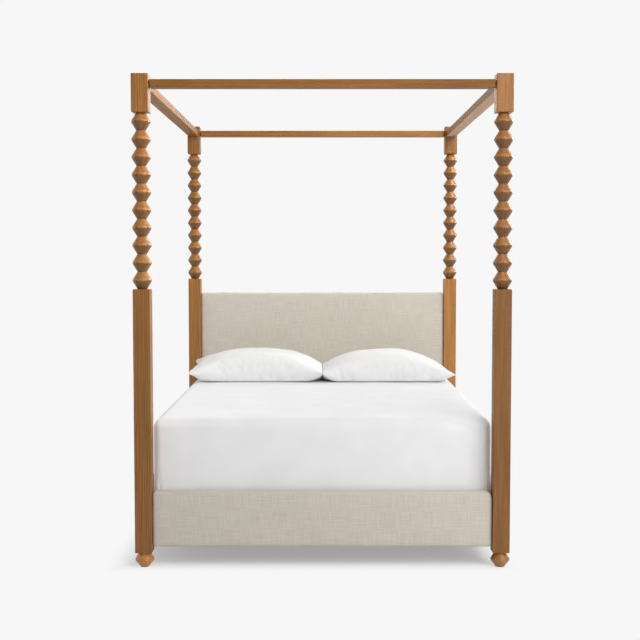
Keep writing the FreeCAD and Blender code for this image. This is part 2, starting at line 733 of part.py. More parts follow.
def add_panels():
    """Headboard, footboard and side rails with their upholstery and joints."""
    bolt_cuts = bolt_shapes(bolt_tools, all_bolts)
    places = rail_joint_places()
    plate_cuts = sum([at_joint(rail_joint.rail_pockets(), at, turn) for _, at, turn in places], [])
    plate_room = rail_joint.outline((-RAIL_PLATE_THICKNESS, 0), FIT_CLEARANCE)
    plate_rooms = [placed(plate_room, at, turn) for _, at, turn in places]
    panels = {
        "headboard": placed_panel(post_gap_x, HEADBOARD_HEIGHT, 0, headboard_y, 0),
        "footboard": placed_panel(post_gap_x, LOW_PANEL_HEIGHT, 0, footboard_y, 0),
        "side_rail_left": placed_panel(post_gap_y, LOW_PANEL_HEIGHT, -side_rail_x, 0, -90),
        "side_rail_right": placed_panel(post_gap_y, LOW_PANEL_HEIGHT, side_rail_x, 0, 90),
    }
    ledge_cuts = ledge_screws(screw_bore)
    for name, shapes in panels.items():
        if "side_rail" in name:
            skin_cuts = plate_rooms
            core_cuts = plate_cuts + ledge_cuts
        else:
            skin_cuts = bolt_cuts
            core_cuts = bolt_cuts
        nodes[name + "_core"] = cut_all(shapes["core"], core_cuts)
        nodes[name + "_foam"] = cut_all(shapes["foam"], skin_cuts)
        nodes[name + "_cover"] = cut_all(shapes["cover"], skin_cuts)
    nodes["headboard_back_cloth"] = panels["headboard"]["window"]
    hooks = [placed(rail_joint.hook_plate(), at, turn) for _, at, turn in places]
    receivers = [placed(rail_joint.receiver_plate(), at, turn) for _, at, turn in places]
    nodes["rail_hook_plates"] = Part.Compound(hooks)
    nodes["rail_receiver_plates"] = Part.Compound(receivers)
    nodes["panel_bolts"] = Part.Compound(bolt_shapes(lambda: [panel_bolt()], all_bolts))
    nodes["panel_barrel_nuts"] = Part.Compound(bolt_shapes(lambda: [barrel_nut()], all_bolts))
    nodes["bolt_plugs"] = Part.Compound(bolt_shapes(lambda: [bolt_plug()], all_bolts))
    plate_screws = []
    for joint, joint_places in ((canopy_joint, canopy_joint_places()), (rail_joint, places)):
        for _, at, turn in joint_places:
            plate_screws += at_joint(joint.all_screws(), at, turn)
    nodes["plate_screws"] = Part.Compound(plate_screws)


def slat_rows():
    """The middle of each slat along Y."""
    first = footboard_y + PANEL_THICKNESS + SLAT_END_MARGIN + SLAT_WIDTH / 2
    last = headboard_y - SLAT_END_MARGIN - SLAT_WIDTH / 2
    step = (last - first) / (SLAT_COUNT - 1)
    return [first + index * step for index in range(SLAT_COUNT)]


def ledge_face():
    """Where the side rails' cores face the mattress, as a distance from the middle."""
    return side_rail_x - core_back


def ledge_half_length():
    """The ledges lie on the cores, inside the turned-in margin of the covers."""
    return post_gap_y / 2 - COVER_BACK_MARGIN - LEDGE_END_GAP


def ledge_screws(make):
    """Screws, or their bores, through the ledges into the side rails' cores."""
    span = 2 * ledge_half_length() - 2 * LEDGE_SCREW_END_MARGIN
    step = span / (LEDGE_SCREW_COUNT - 1)
    made = []
    z = slat_z - LEDGE_HEIGHT / 2
    for side in (-1, 1):
        for index in range(LEDGE_SCREW_COUNT):
            start = Vector(side * (ledge_face() - LEDGE_WIDTH), -span / 2 + index * step, z)
            made.append(
                make(
                    WOOD_SCREW_DIAMETER,
                    WOOD_SCREW_HEAD_DIAMETER,
                    WOOD_SCREW_HEAD_HEIGHT,
                    LEDGE_SCREW_LENGTH,
                    start,
                    X_AXIS * side,
                )
            )
    return made


def slat_screws(make):
    """Screws, or their bores, down through each slat into both ledges and the centre beam."""
    ledge_x = ledge_face() - LEDGE_WIDTH / 2
    made = []
    for y in slat_rows():
        for x in (-ledge_x, 0, ledge_x):
            made.append(
                make(
                    WOOD_SCREW_DIAMETER,
                    WOOD_SCREW_HEAD_DIAMETER,
                    WOOD_SCREW_HEAD_HEIGHT,
                    SLAT_SCREW_LENGTH,
                    Vector(x, y, deck_z),
                    -Z_AXIS,
                )
            )
    return made


def add_base():
    """Ledges, slats, centre beam, legs and levellers."""
    slat_cuts = slat_screws(screw_bore)
    side_cuts = ledge_screws(screw_bore)
    half_ledge = ledge_half_length()
    for name, side in (("left", -1), ("right", 1)):
        near = ledge_face() - LEDGE_WIDTH
        x = sorted((side * near, side * ledge_face()))
        ledge = box(x, (-half_ledge, half_ledge), (slat_z - LEDGE_HEIGHT, slat_z))
        nodes["slat_ledge_" + name] = cut_all(ledge, slat_cuts + side_cuts)
    slat_length = 2 * (side_rail_x - PANEL_THICKNESS - SLAT_SIDE_CLEARANCE)
    slat = bar(slat_length, SLAT_WIDTH, SLAT_THICKNESS, SLAT_EDGE_RADIUS)
    slats = [placed(slat, (0, y, slat_z + SLAT_THICKNESS / 2)) for y in slat_rows()]
    nodes["slats"] = Part.Compound([cut_all(one, slat_cuts) for one in slats])
    nodes["slat_screws"] = Part.Compound(slat_screws(screw))
    nodes["ledge_screws"] = Part.Compound(ledge_screws(screw))
    add_centre_support(slat_cuts)


def add_centre_support(slat_cuts):
    beam_y = (footboard_y + PANEL_THICKNESS + BEAM_END_MARGIN, headboard_y - BEAM_END_MARGIN)
    beam_z = slat_z - BEAM_HEIGHT
    beam = box((-BEAM_WIDTH / 2, BEAM_WIDTH / 2), beam_y, (beam_z, slat_z))
    leg_z = LEVELLER_PAD_HEIGHT + SOFT_CLEARANCE
    leg_length = beam_z - leg_z
    studs = []
    inserts = []
    stud_bores = []
    for name, side in (("front", -1), ("rear", 1)):
        y = mattress_y + side * LEG_SPACING / 2
        stud_start = Vector(0, y, beam_z - LEG_STUD_DEPTH)
        studs.append(rod(LEG_STUD_DIAMETER, 2 * LEG_STUD_DEPTH, stud_start, Z_AXIS))
        stud_bores.append(
            rod(
                LEG_STUD_DIAMETER + 2 * FIT_CLEARANCE,
                2 * LEG_STUD_DEPTH + 2 * BORE_END_GAP,
                stud_start - Z_AXIS * BORE_END_GAP,
                Z_AXIS,
            )
        )
        leg = bar(leg_length, LEG_SIDE, LEG_SIDE, LEG_EDGE_RADIUS)
        leg.rotate(Vector(0, 0, 0), Y_AXIS, 90)
        foot = Vector(0, y, leg_z)
        running = LEVELLER_STEM_DIAMETER + 2 * LEVELLER_RUNNING_CLEARANCE
        insert_room = rod(INSERT_DIAMETER + 2 * FIT_CLEARANCE, INSERT_LENGTH, foot, Z_AXIS)
        stem_room = rod(running + 2 * FIT_CLEARANCE, LEVELLER_STEM_LENGTH + BORE_END_GAP, foot, Z_AXIS)
        leg = placed(leg, (0, y, leg_z + leg_length / 2))
        nodes["centre_leg_" + name] = cut_all(leg, [insert_room, stem_room, stud_bores[-1]])
        insert = rod(INSERT_DIAMETER, INSERT_LENGTH, foot, Z_AXIS)
        inserts.append(insert.cut(rod(running, INSERT_LENGTH, foot, Z_AXIS)).Solids[0])
        nodes["leveller_" + name] = leveller(y)
    nodes["centre_beam"] = cut_all(beam, slat_cuts + stud_bores)
    nodes["leg_studs"] = Part.Compound(studs)
    nodes["leg_inserts"] = Part.Compound(inserts)


def leveller(y):
    """A screw foot: a round pad with a stem up into the leg."""
    pad = rod(LEVELLER_PAD_DIAMETER, LEVELLER_PAD_HEIGHT, Vector(0, y, 0), Z_AXIS)
    rims = [edge for edge in pad.Edges if edge.BoundBox.ZLength < FIT_CLEARANCE]
    pad = pad.makeFillet(LEVELLER_PAD_EDGE_RADIUS, rims)
    stem_length = LEVELLER_STEM_LENGTH + SOFT_CLEARANCE
    stem = rod(LEVELLER_STEM_DIAMETER, stem_length, Vector(0, y, LEVELLER_PAD_HEIGHT), Z_AXIS)
    return pad.fuse(stem).Solids[0]


def add_bedding():
    """The mattress, the fitted sheet over it and two pillows side by side at the head."""
    inner = soft_block(
        mattress_width,
        mattress_length,
        MATTRESS_HEIGHT,
        MATTRESS_CORNER_RADIUS,
        MATTRESS_TOP_RADIUS,
        MATTRESS_BOTTOM_RADIUS,
        MATTRESS_BORDER_BULGE,
    )
    outer = soft_block(
        mattress_width + 2 * SHEET_THICKNESS,
        mattress_length + 2 * SHEET_THICKNESS,
        MATTRESS_HEIGHT + SHEET_THICKNESS,
        MATTRESS_CORNER_RADIUS + SHEET_THICKNESS,
        MATTRESS_TOP_RADIUS + SHEET_THICKNESS,
        MATTRESS_BOTTOM_RADIUS + SHEET_THICKNESS,
        MATTRESS_BORDER_BULGE,
    )
    half = mattress_width + mattress_length
    below_hem = box((-half, half), (-half, half), (-half, SHEET_HEM_RISE))
    place = (0, mattress_y, deck_z)
    nodes["mattress"] = placed(inner, place)
    nodes["fitted_sheet"] = placed(outer.cut([inner, below_hem]).Solids[0], place)
    pillow_x = (pillow_length + PILLOW_GAP) / 2
    pillow_y = headboard_y - PILLOW_FROM_HEADBOARD - PILLOW_DEPTH / 2
    for name, side in (("left", -1), ("right", 1)):
        nodes["pillow_" + name] = placed(pillow(), (side * pillow_x, pillow_y, sheet_top + SOFT_CLEARANCE))


def main():
    add_posts()
    add_canopy()
    add_panels()
    add_base()
    add_bedding()
    os.makedirs("parts", exist_ok=True)
    for name, shape in nodes.items():
        shape.exportStep("parts/" + name + ".step")
        valid = shape.isValid()
        print(f"{name}: {len(shape.Solids)} solids, {shape.Volume / 1e6:.3f} litres, valid {valid}")
    print(len(nodes), "nodes")


main()
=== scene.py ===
"""Dresses a canopy bed: its woods, linen panels, metal fittings, mattress, fitted sheet and pillows.

Metres throughout. X runs across the bed, -Y is the foot end and +Z is up.
"""

import logging
import math
from dataclasses import dataclass, field, replace
from enum import Enum
from typing import Callable, Sequence, Union

import bpy
import numpy as np
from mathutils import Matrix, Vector


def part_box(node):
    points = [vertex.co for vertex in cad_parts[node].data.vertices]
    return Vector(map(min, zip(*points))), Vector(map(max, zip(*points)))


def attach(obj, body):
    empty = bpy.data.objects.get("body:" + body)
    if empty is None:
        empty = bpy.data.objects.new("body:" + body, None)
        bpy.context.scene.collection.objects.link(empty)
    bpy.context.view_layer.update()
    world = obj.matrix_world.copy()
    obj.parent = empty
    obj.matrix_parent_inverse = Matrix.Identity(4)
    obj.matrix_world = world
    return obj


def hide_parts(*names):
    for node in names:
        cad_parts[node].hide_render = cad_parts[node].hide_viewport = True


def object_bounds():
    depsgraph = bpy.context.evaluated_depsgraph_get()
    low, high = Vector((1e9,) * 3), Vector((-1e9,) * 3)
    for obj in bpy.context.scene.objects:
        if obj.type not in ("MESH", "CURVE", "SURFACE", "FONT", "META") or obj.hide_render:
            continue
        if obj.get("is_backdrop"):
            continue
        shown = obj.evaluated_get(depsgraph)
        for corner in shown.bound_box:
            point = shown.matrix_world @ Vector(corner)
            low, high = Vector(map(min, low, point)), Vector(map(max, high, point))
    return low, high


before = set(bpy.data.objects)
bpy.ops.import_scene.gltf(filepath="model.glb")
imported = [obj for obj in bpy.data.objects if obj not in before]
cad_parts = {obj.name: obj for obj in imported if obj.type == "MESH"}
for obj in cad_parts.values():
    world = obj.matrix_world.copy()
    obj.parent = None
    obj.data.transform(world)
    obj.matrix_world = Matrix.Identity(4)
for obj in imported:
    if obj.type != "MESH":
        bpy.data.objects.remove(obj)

LOG = logging.getLogger("canopy_bed")
TINY = 1e-5

Point = tuple[float, float, float]
Colour = tuple[float, float, float, float]
Number = Union[float, "Value"]
Input = Union[float, Sequence[float], "Value"]
Name = Union[str, int]
Size = tuple[float, float]
Test = Callable[[Vector, Vector], bool]


def colour(red: float, green: float, blue: float) -> Colour:
    """Give a linear colour with full cover."""
    return (red, green, blue, 1.0)


def grey(level: float) -> Colour:
    """Give an even grey with full cover."""
    return (level, level, level, 1.0)


class Value:
    """A socket of a finish's nodes that takes part in Python arithmetic."""

    def __init__(self, board: "Board", socket: bpy.types.NodeSocket) -> None:
        """Keep the socket and the board that it is on."""
        self.board = board
        self.socket = socket

    def math(self, operation: str, *others: Number) -> "Value":
        """Add a Math node with this value as its first input."""
        inputs = dict(enumerate((self, *others)))
        return self.board.value("ShaderNodeMath", {"operation": operation}, inputs)

    def __add__(self, other: Number) -> "Value":
        """Add."""
        return self.math("ADD", other)

    __radd__ = __add__

    def __sub__(self, other: Number) -> "Value":
        """Subtract."""
        return self.math("SUBTRACT", other)

    def __rsub__(self, other: float) -> "Value":
        """Subtract this value from a number."""
        return self.math("MULTIPLY_ADD", -1.0, other)

    def __mul__(self, other: Number) -> "Value":
        """Multiply."""
        return self.math("MULTIPLY", other)

    __rmul__ = __mul__

    def __truediv__(self, other: Number) -> "Value":
        """Divide."""
        return self.math("DIVIDE", other)

    def __abs__(self) -> "Value":
        """Drop the sign."""
        return self.math("ABSOLUTE")

    def fraction(self) -> "Value":
        """Keep what is after the decimal point."""
        return self.math("FRACT")

    def wave(self) -> "Value":
        """Take the sine."""
        return self.math("SINE")

    def least(self, other: Number) -> "Value":
        """Take the lower of two values."""
        return self.math("MINIMUM", other)

    def most(self, other: Number) -> "Value":
        """Take the higher of two values."""
        return self.math("MAXIMUM", other)

    def ease(self, low: float, high: float) -> "Value":
        """Rise smoothly from 0 at low to 1 at high."""
        settings = {"interpolation_type": "SMOOTHSTEP"}
        return self.board.value("ShaderNodeMapRange", settings, {0: self, 1: low, 2: high})


class Board:
    """The nodes of one finish."""

    def __init__(self, name: str) -> None:
        """Make an empty material with a Principled shader.

        Args:
            name: the material's name.
        """
        self.material = bpy.data.materials.new(name)
        self.material.use_nodes = True
        self.tree = self.material.node_tree
        self.shader = self.tree.nodes["Principled BSDF"]
        self.output = self.tree.nodes["Material Output"]

    def node(self, kind: str, settings: dict[str, object], inputs: dict[Name, Input]) -> bpy.types.Node:
        """Add a node.

        Args:
            kind: the node's type.
            settings: its properties, which are set first.
            inputs: values or links for its sockets, by name or number.

        Returns:
            The node.
        """
        made = self.tree.nodes.new(kind)
        for name, setting in settings.items():
            setattr(made, name, setting)
        for name, given in inputs.items():
            self.feed(made.inputs[name], given)
        return made

    def feed(self, socket: bpy.types.NodeSocket, given: Input) -> None:
        """Link a value to a socket, or set the socket.

        Args:
            socket: what is fed.
            given: a value of this board, or a plain number, vector or colour.
        """
        if isinstance(given, Value):
            self.tree.links.new(given.socket, socket)
        else:
            socket.default_value = given

    def value(
        self, kind: str, settings: dict[str, object], inputs: dict[Name, Input], out: Name = 0
    ) -> Value:
        """Add a node and take one of its outputs."""
        return Value(self, self.node(kind, settings, inputs).outputs[out])

    def place(self) -> Value:
        """Give the point in the piece's own metres."""
        return self.value("ShaderNodeTexCoord", {}, {}, "Object")

    def cloth_place(self) -> Value:
        """Give the point on the piece's flattened cloth, in metres."""
        return self.value("ShaderNodeUVMap", {"uv_map": "Cloth"}, {})

    def split(self, vector: Value) -> tuple[Value, Value, Value]:
        """Take a vector apart."""
        parts = self.node("ShaderNodeSeparateXYZ", {}, {0: vector})
        return tuple(Value(self, socket) for socket in parts.outputs)

    def join(self, x: Number, y: Number, z: Number) -> Value:
        """Make a vector of three parts."""
        return self.value("ShaderNodeCombineXYZ", {}, {0: x, 1: y, 2: z})

    def noise(self, vector: Value, scale: float, detail: float = 2.0, rough: float = 0.5) -> Value:
        """Add cloudy noise."""
        inputs = {"Vector": vector, "Scale": scale, "Detail": detail, "Roughness": rough}
        return self.value("ShaderNodeTexNoise", {}, inputs)

    def mix(self, share: Number, first: Input, second: Input, blend: str = "MIX") -> Value:
        """Mix two colours."""
        settings = {"data_type": "RGBA", "blend_type": blend}
        return self.value("ShaderNodeMix", settings, {0: share, 6: first, 7: second}, 2)

    def shade(self, first: Input, level: Value) -> Value:
        """Make a colour lighter or darker by a value around 1."""
        return self.mix(1.0, first, self.join(level, level, level), "MULTIPLY")

    def bump(self, height: Value, depth: float, strength: float = 1.0) -> None:
        """Raise the surface by a value."""
        inputs = {"Strength": strength, "Distance": depth, "Height": height}
        self.surface({"Normal": self.value("ShaderNodeBump", {}, inputs)})

    def surface(self, inputs: dict[str, Input]) -> None:
        """Feed the shader."""
        for name, given in inputs.items():
            self.feed(self.shader.inputs[name], given)


class Sky(Board):
    """The nodes of the room's even light."""

    def __init__(self, name: str) -> None:
        """Make a world and put the scene in it.

        Args:
            name: the world's name.
        """
        world = bpy.data.worlds.new(name)
        world.use_nodes = True
        bpy.context.scene.world = world
        self.tree = world.node_tree
        self.background = self.tree.nodes["Background"]


class Grain(Enum):
    """The way that a board's grain runs."""

    ACROSS = "x"
    ALONG = "y"
    UPRIGHT = "z"

    def parts(self, board: Board) -> tuple[Value, Value, Value]:
        """Give the point's place across, beside and along the grain."""
        x, y, z = board.split(board.place())
        return {"x": (y, z, x), "y": (x, z, y), "z": (x, y, z)}[self.value]


@dataclass(frozen=True)
class Finish:
    """A finish, which paints the nodes of its own material."""

    name: str

    def material(self) -> bpy.types.Material:
        """Build the finish.

        Returns:
            The material.
        """
        board = Board(self.name)
        self.paint(board)
        return board.material

    def paint(self, board: Board) -> None:
        """Feed the shader of a board."""
        raise NotImplementedError


@dataclass(frozen=True)
class Figure:
    """Noise that is drawn out along the grain."""

    stretch: float
    scale: float
    detail: float
    rough: float = 0.5

    def on(self, board: Board, parts: tuple[Value, Value, Value]) -> Value:
        """Add the noise.

        Args:
            board: the finish's nodes.
            parts: the point's place across, beside and along the grain.

        Returns:
            A value from 0 to 1.
        """
        across, beside, along = parts
        place = board.join(across, beside, along * self.stretch)
        return board.noise(place, self.scale, self.detail, self.rough)


SWAY = Figure(0.22, 2.6, 2.0)
RIPPLE = Figure(0.10, 21.0, 1.0)
STREAK = Figure(0.035, 85.0, 3.0, 0.6)
FIBRE = Figure(0.012, 780.0, 2.0, 0.6)
PORE = Figure(0.028, 1250.0, 1.0)
CLOUD = Figure(0.3, 3.2, 2.0)


@dataclass(frozen=True)
class Wood(Finish):
    """A lacquered wood with rings, streaks, fibres and open pores."""

    grain: Grain
    pale: Colour
    warm: Colour
    deep: Colour
    ring_pitch: float = 0.0046
    ring_show: float = 0.54
    pore_show: float = 0.58
    roughness: float = 0.44
    coat: float = 0.04
    specular: float = 0.25
    tone: float = 1.0
    relief: float = 0.00008
    heart: Size = (0.31, 0.17)
    sway: Size = (0.05, -0.04)
    wobble: float = 3.2
    least_tone: float = 0.74
    cloud_tone: float = 0.44
    fibre_tone: float = 0.14

    def paint(self, board: Board) -> None:
        """Feed the shader.

        Args:
            board: the finish's nodes.
        """
        parts = self.grain.parts(board)
        sway = SWAY.on(board, parts) - 0.5
        ripple = RIPPLE.on(board, parts) - 0.5
        out_across = parts[0] + sway * self.sway[0] + self.heart[0]
        out_beside = parts[1] + sway * self.sway[1] + self.heart[1]
        reach = (out_across * out_across + out_beside * out_beside).math("SQRT")
        ring = (reach / self.ring_pitch + ripple * self.wobble).fraction()
        late = ring.ease(0.25, 0.88) * (1.0 - ring.ease(0.90, 1.0))
        streak = STREAK.on(board, parts)
        fibre = FIBRE.on(board, parts)
        pore = PORE.on(board, parts).ease(0.60, 0.72)
        cloud = CLOUD.on(board, parts)
        tone = board.mix(streak.ease(0.36, 0.64), self.pale, self.warm)
        tone = board.mix(late * self.ring_show, tone, self.deep)
        level = self.least_tone + cloud * self.cloud_tone + fibre * self.fibre_tone
        tone = board.shade(tone, level * self.tone)
        tone = board.mix(pore * self.pore_show, tone, self.deep)
        tone = self.add_painted_light(board, tone)
        rough = self.roughness + fibre * 0.10 + pore * 0.12 - late * 0.04
        board.surface({"Base Color": tone, "Roughness": rough, "Coat Weight": self.coat})
        board.surface({"Coat Roughness": 0.22, "Specular IOR Level": self.specular})
        board.bump(streak * 0.6 + late * 0.4, self.relief, 0.6)

    def toned(self, name: str, tone: float) -> bpy.types.Material:
        """Build the finish for one plank, lighter or darker than the rest, partly its own tone and partly
        painted light and shade.
        """
        return replace(self, name=f"{self.name} {name}", tone=tone).material()

    def add_painted_light(self, board: Board, tone: Value) -> Value:
        """Leave the tone even, as it is on a plain board."""
        return tone


@dataclass(frozen=True)
class PostWood(Wood):
    """The wood of the square posts, with a painted highlight along their upright edges."""

    half: float = 0.038
    middle: tuple[float, float] = (0.800, 1.055)
    edge: float = 0.006
    edge_highlight_show: float = 0.25

    def add_painted_light(self, board: Board, tone: Value) -> Value:
        """Paint a pale highlight along the edges.

        Args:
            board: the finish's nodes.
            tone: the wood's colour.

        Returns:
            The colour with its painted edge highlights.
        """
        x, y, z = board.split(board.place())
        from_side = abs(abs(x) - self.middle[0])
        from_end = abs(abs(y) - self.middle[1])
        # Painted highlight along the upright edges, broken up unevenly by noise.
        highlight_breakup = board.noise(board.join(x, y, z * 0.4), 30.0, 2.0).ease(0.35, 0.65)
        near = from_side.least(from_end).ease(self.half - self.edge, self.half)
        return board.mix(near * (0.4 + highlight_breakup * 0.6) * self.edge_highlight_show, tone, self.pale)


@dataclass(frozen=True)
class TurnedWood(Wood):
    """The wood of the spools, with painted highlights on the ridges and upper cones, and painted shade on
    the lower cones and in the valleys.
    """

    start: float = 0.0
    pitch: float = 0.08
    lower_cone_shade_tone: float = 0.61
    upper_cone_light_tone: float = 0.57
    ridge_highlight_tone: float = 0.30
    valley_shade_tone: float = 0.22

    def add_painted_light(self, board: Board, tone: Value) -> Value:
        """Paint highlights on the ridges and upper cones, and paint shade on the lower cones and in the
        valleys.

        Args:
            board: the finish's nodes.
            tone: the wood's colour.

        Returns:
            The colour with its painted light and shade.
        """
        _, _, z = board.split(board.place())
        phase = ((z - self.start) / self.pitch).fraction()
        # Painted light and shade by the bead's phase: lit upper cones, a highlight on the ridge, shaded
        # lower cones and valleys.
        upper_cone_light = phase.ease(0.47, 0.60)
        ridge = phase.ease(0.45, 0.52) * (1.0 - phase.ease(0.54, 0.66))
        valley_shade = phase.ease(0.90, 1.0).most(1.0 - phase.ease(0.0, 0.08))
        level = self.lower_cone_shade_tone + upper_cone_light * self.upper_cone_light_tone + ridge * self.ridge_highlight_tone
        return board.shade(tone, level - valley_shade * self.valley_shade_tone)


@dataclass(frozen=True)
class RailWood(Wood):
    """The wood of the side rails of the canopy, whose undersides can take a pale painted reflection of the
    floor.
    """

    level: float = 0.0
    floor_reflection: Colour = (0.71, 0.48, 0.345, 1.0)
    floor_reflection_show: float = 0.0
    edge: float = 0.001

    def add_painted_light(self, board: Board, tone: Value) -> Value:
        """Paint a pale reflection of the floor on the underside.

        Args:
            board: the finish's nodes.
            tone: the wood's colour.

        Returns:
            The colour with its painted reflection underneath.
        """
        _, _, z = board.split(board.place())
        # Painted reflection of the pale floor, on the faces below the rail's lowest level.
        under = 1.0 - z.ease(self.level, self.level + self.edge)
        return board.mix(under * self.floor_reflection_show, tone, self.floor_reflection)


@dataclass(frozen=True)
class Linen(Finish):
    """A plain-woven upholstery linen with slubs and flecks."""

    light: Colour
    dark: Colour
    fleck: Colour
    thread: float = 0.0013
    relief: float = 0.00045
    roughness: float = 0.88

    def paint(self, board: Board) -> None:
        """Feed the shader.

        Args:
            board: the finish's nodes.
        """
        u, v, _ = board.split(board.cloth_place())
        place = board.join(u, v, 0.0)
        bend = board.noise(place, 55.0, 1.0) - 0.5
        turn = math.pi / self.thread
        warp = ((u + bend * 0.0011) * turn).wave()
        weft = ((v + bend * 0.0009) * turn).wave()
        over = (warp * weft).ease(-0.5, 0.5)
        weave = abs(warp) * over + abs(weft) * (1.0 - over)
        slub_warp = board.noise(board.join(u * 1.0, v * 0.035, 0.0), 520.0, 1.0).ease(0.60, 0.74)
        slub_weft = board.noise(board.join(u * 0.035, v * 1.0, 4.0), 480.0, 1.0).ease(0.58, 0.74)
        slub = slub_warp.most(slub_weft)
        yarn_warp = board.noise(board.join(u, v * 0.035, 2.0), 330.0, 2.0)
        yarn_weft = board.noise(board.join(u * 0.030, v, 7.0), 300.0, 2.0)
        cloud = board.noise(place, 4.5, 3.0)
        fleck = board.noise(place, 410.0, 1.0).ease(0.70, 0.80)
        tone = board.mix((yarn_warp * 0.5 + yarn_weft * 0.5).ease(0.32, 0.68), self.dark, self.light)
        tone = board.mix(slub * 0.35, tone, self.light)
        tone = board.mix(fleck * 0.30, tone, self.fleck)
        tone = board.shade(tone, 0.90 + weave * 0.10 + cloud * 0.08)
        board.surface({"Base Color": tone, "Roughness": self.roughness - slub * 0.08})
        board.surface({"Sheen Weight": 0.12, "Sheen Roughness": 0.6, "Specular IOR Level": 0.2})
        board.bump(weave * 0.6 + slub * 0.5, self.relief, 0.55)


@dataclass(frozen=True)
class Cotton(Finish):
    """A smooth bed linen of fine percale."""

    light: Colour
    shadow: Colour
    crease: float = 0.0007
    roughness: float = 0.82
    sheen: float = 0.10

    def paint(self, board: Board) -> None:
        """Feed the shader.

        Args:
            board: the finish's nodes.
        """
        place = board.place()
        x, y, z = board.split(place)
        warp = board.noise(board.join(x, y * 0.06, z * 0.06), 900.0, 1.0)
        weft = board.noise(board.join(x * 0.06, y, z), 900.0, 1.0)
        rumple = board.noise(place, 7.0, 3.0, 0.45)
        press = board.noise(board.join(x * 0.7, y, z), 17.0, 2.0, 0.4)
        tone = board.mix(rumple.ease(0.3, 0.7) * 0.6 + (warp + weft) * 0.2, self.shadow, self.light)
        board.surface({"Base Color": tone, "Roughness": self.roughness + warp * 0.06})
        board.surface({"Sheen Weight": self.sheen, "Sheen Roughness": 0.5, "Specular IOR Level": 0.25})
        board.bump(press * 0.8 + rumple + (warp + weft) * 0.05, self.crease, 0.5)


@dataclass(frozen=True)
class Ticking(Finish):
    """A quilted mattress ticking, stitched in diamonds."""

    light: Colour
    stitch: Colour
    diamond: float = 0.075

    def paint(self, board: Board) -> None:
        """Feed the shader.

        Args:
            board: the finish's nodes.
        """
        x, y, z = board.split(board.place())
        turn = math.pi / self.diamond
        one = abs(((x + y + z * 0.7) * turn).wave())
        other = abs(((x - y + z * 0.7) * turn).wave())
        puff = one.least(other)
        thread = 1.0 - puff.ease(0.02, 0.07)
        knit = board.noise(board.join(x, y, z), 700.0, 1.0)
        tone = board.mix(thread * 0.6, self.light, self.stitch)
        board.surface({"Base Color": board.shade(tone, 0.92 + knit * 0.12), "Roughness": 0.85 + knit * 0.05})
        board.bump(puff.math("SQRT") + knit * 0.06, 0.004, 0.7)


@dataclass(frozen=True)
class Metal(Finish):
    """A plain machined metal with fine scratches."""

    light: Colour
    dark: Colour
    roughness: float = 0.36

    def paint(self, board: Board) -> None:
        """Feed the shader.

        Args:
            board: the finish's nodes.
        """
        x, y, z = board.split(board.place())
        brushed = board.noise(board.join(x * 0.08, y * 0.08, z), 1400.0, 2.0)
        tarnish = board.noise(board.place(), 60.0, 3.0)
        tone = board.mix(tarnish.ease(0.35, 0.75), self.light, self.dark)
        board.surface({"Base Color": tone, "Roughness": self.roughness + brushed * 0.16, "Metallic": 1.0})
        board.bump(brushed, 0.00004, 0.5)


@dataclass(frozen=True)
class Moulded(Finish):
    """A moulded plastic or pressed felt with a fine even grain."""

    light: Colour
    dark: Colour
    grain: float = 1500.0
    roughness: float = 0.55

    def paint(self, board: Board) -> None:
        """Feed the shader.

        Args:
            board: the finish's nodes.
        """
        speck = board.noise(board.place(), self.grain, 2.0)
        scuff = board.noise(board.place(), 45.0, 3.0)
        tone = board.mix(scuff.ease(0.3, 0.75) * 0.6 + speck * 0.3, self.light, self.dark)
        board.surface({"Base Color": tone, "Roughness": self.roughness + speck * 0.2})
        board.bump(speck, 0.00008, 0.6)


OAK = (colour(0.360, 0.164, 0.046), colour(0.285, 0.119, 0.029), colour(0.150, 0.055, 0.012))
PINE = (colour(0.62, 0.43, 0.235), colour(0.55, 0.35, 0.17), colour(0.36, 0.19, 0.075))
BIRCH = (colour(0.60, 0.46, 0.30), colour(0.53, 0.38, 0.23), colour(0.40, 0.26, 0.14))
PLANED = {"ring_pitch": 0.009, "ring_show": 0.4, "pore_show": 0.1, "roughness": 0.6, "coat": 0.0}
PEELED = {"ring_pitch": 0.02, "ring_show": 0.3, "pore_show": 0.1, "roughness": 0.65, "coat": 0.0}

POST_OAK = PostWood("oak upright", Grain.UPRIGHT, *OAK, specular=0.32)
TURNED_OAK = TurnedWood("oak turned", Grain.UPRIGHT, *OAK, roughness=0.34, coat=0.30)
FOOT_OAK = Wood("oak foot", Grain.UPRIGHT, *OAK, roughness=0.36, coat=0.20)
CROSS_OAK = Wood("oak across", Grain.ACROSS, *OAK, specular=0.15)
LONG_OAK = RailWood("oak along", Grain.ALONG, *OAK, 0.0070, 0.66, specular=0.07, coat=0.0)
CROSS_PINE = Wood("pine across", Grain.ACROSS, *PINE, **PLANED)
LONG_PINE = Wood("pine along", Grain.ALONG, *PINE, **PLANED)
UPRIGHT_PINE = Wood("pine upright", Grain.UPRIGHT, *PINE, **PLANED)
CROSS_BIRCH = Wood("birch ply across", Grain.ACROSS, *BIRCH, **PEELED)
LONG_BIRCH = Wood("birch ply along", Grain.ALONG, *BIRCH, **PEELED)
OATMEAL_LINEN = Linen(
    "oatmeal linen", colour(0.68, 0.63, 0.56), colour(0.56, 0.505, 0.43), colour(0.36, 0.30, 0.23)
)
LINING = Linen(
    "lining cloth", colour(0.60, 0.55, 0.47), colour(0.52, 0.47, 0.40), colour(0.40, 0.34, 0.27), 0.0018
)
SHEET_COTTON = Cotton("sheet cotton", colour(0.88, 0.88, 0.885), colour(0.83, 0.83, 0.84))
PILLOW_COTTON = Cotton("pillow cotton", colour(0.885, 0.885, 0.88), grey(0.84), 0.0005)
QUILTED_TICKING = Ticking("quilted ticking", colour(0.80, 0.78, 0.73), colour(0.62, 0.60, 0.55))
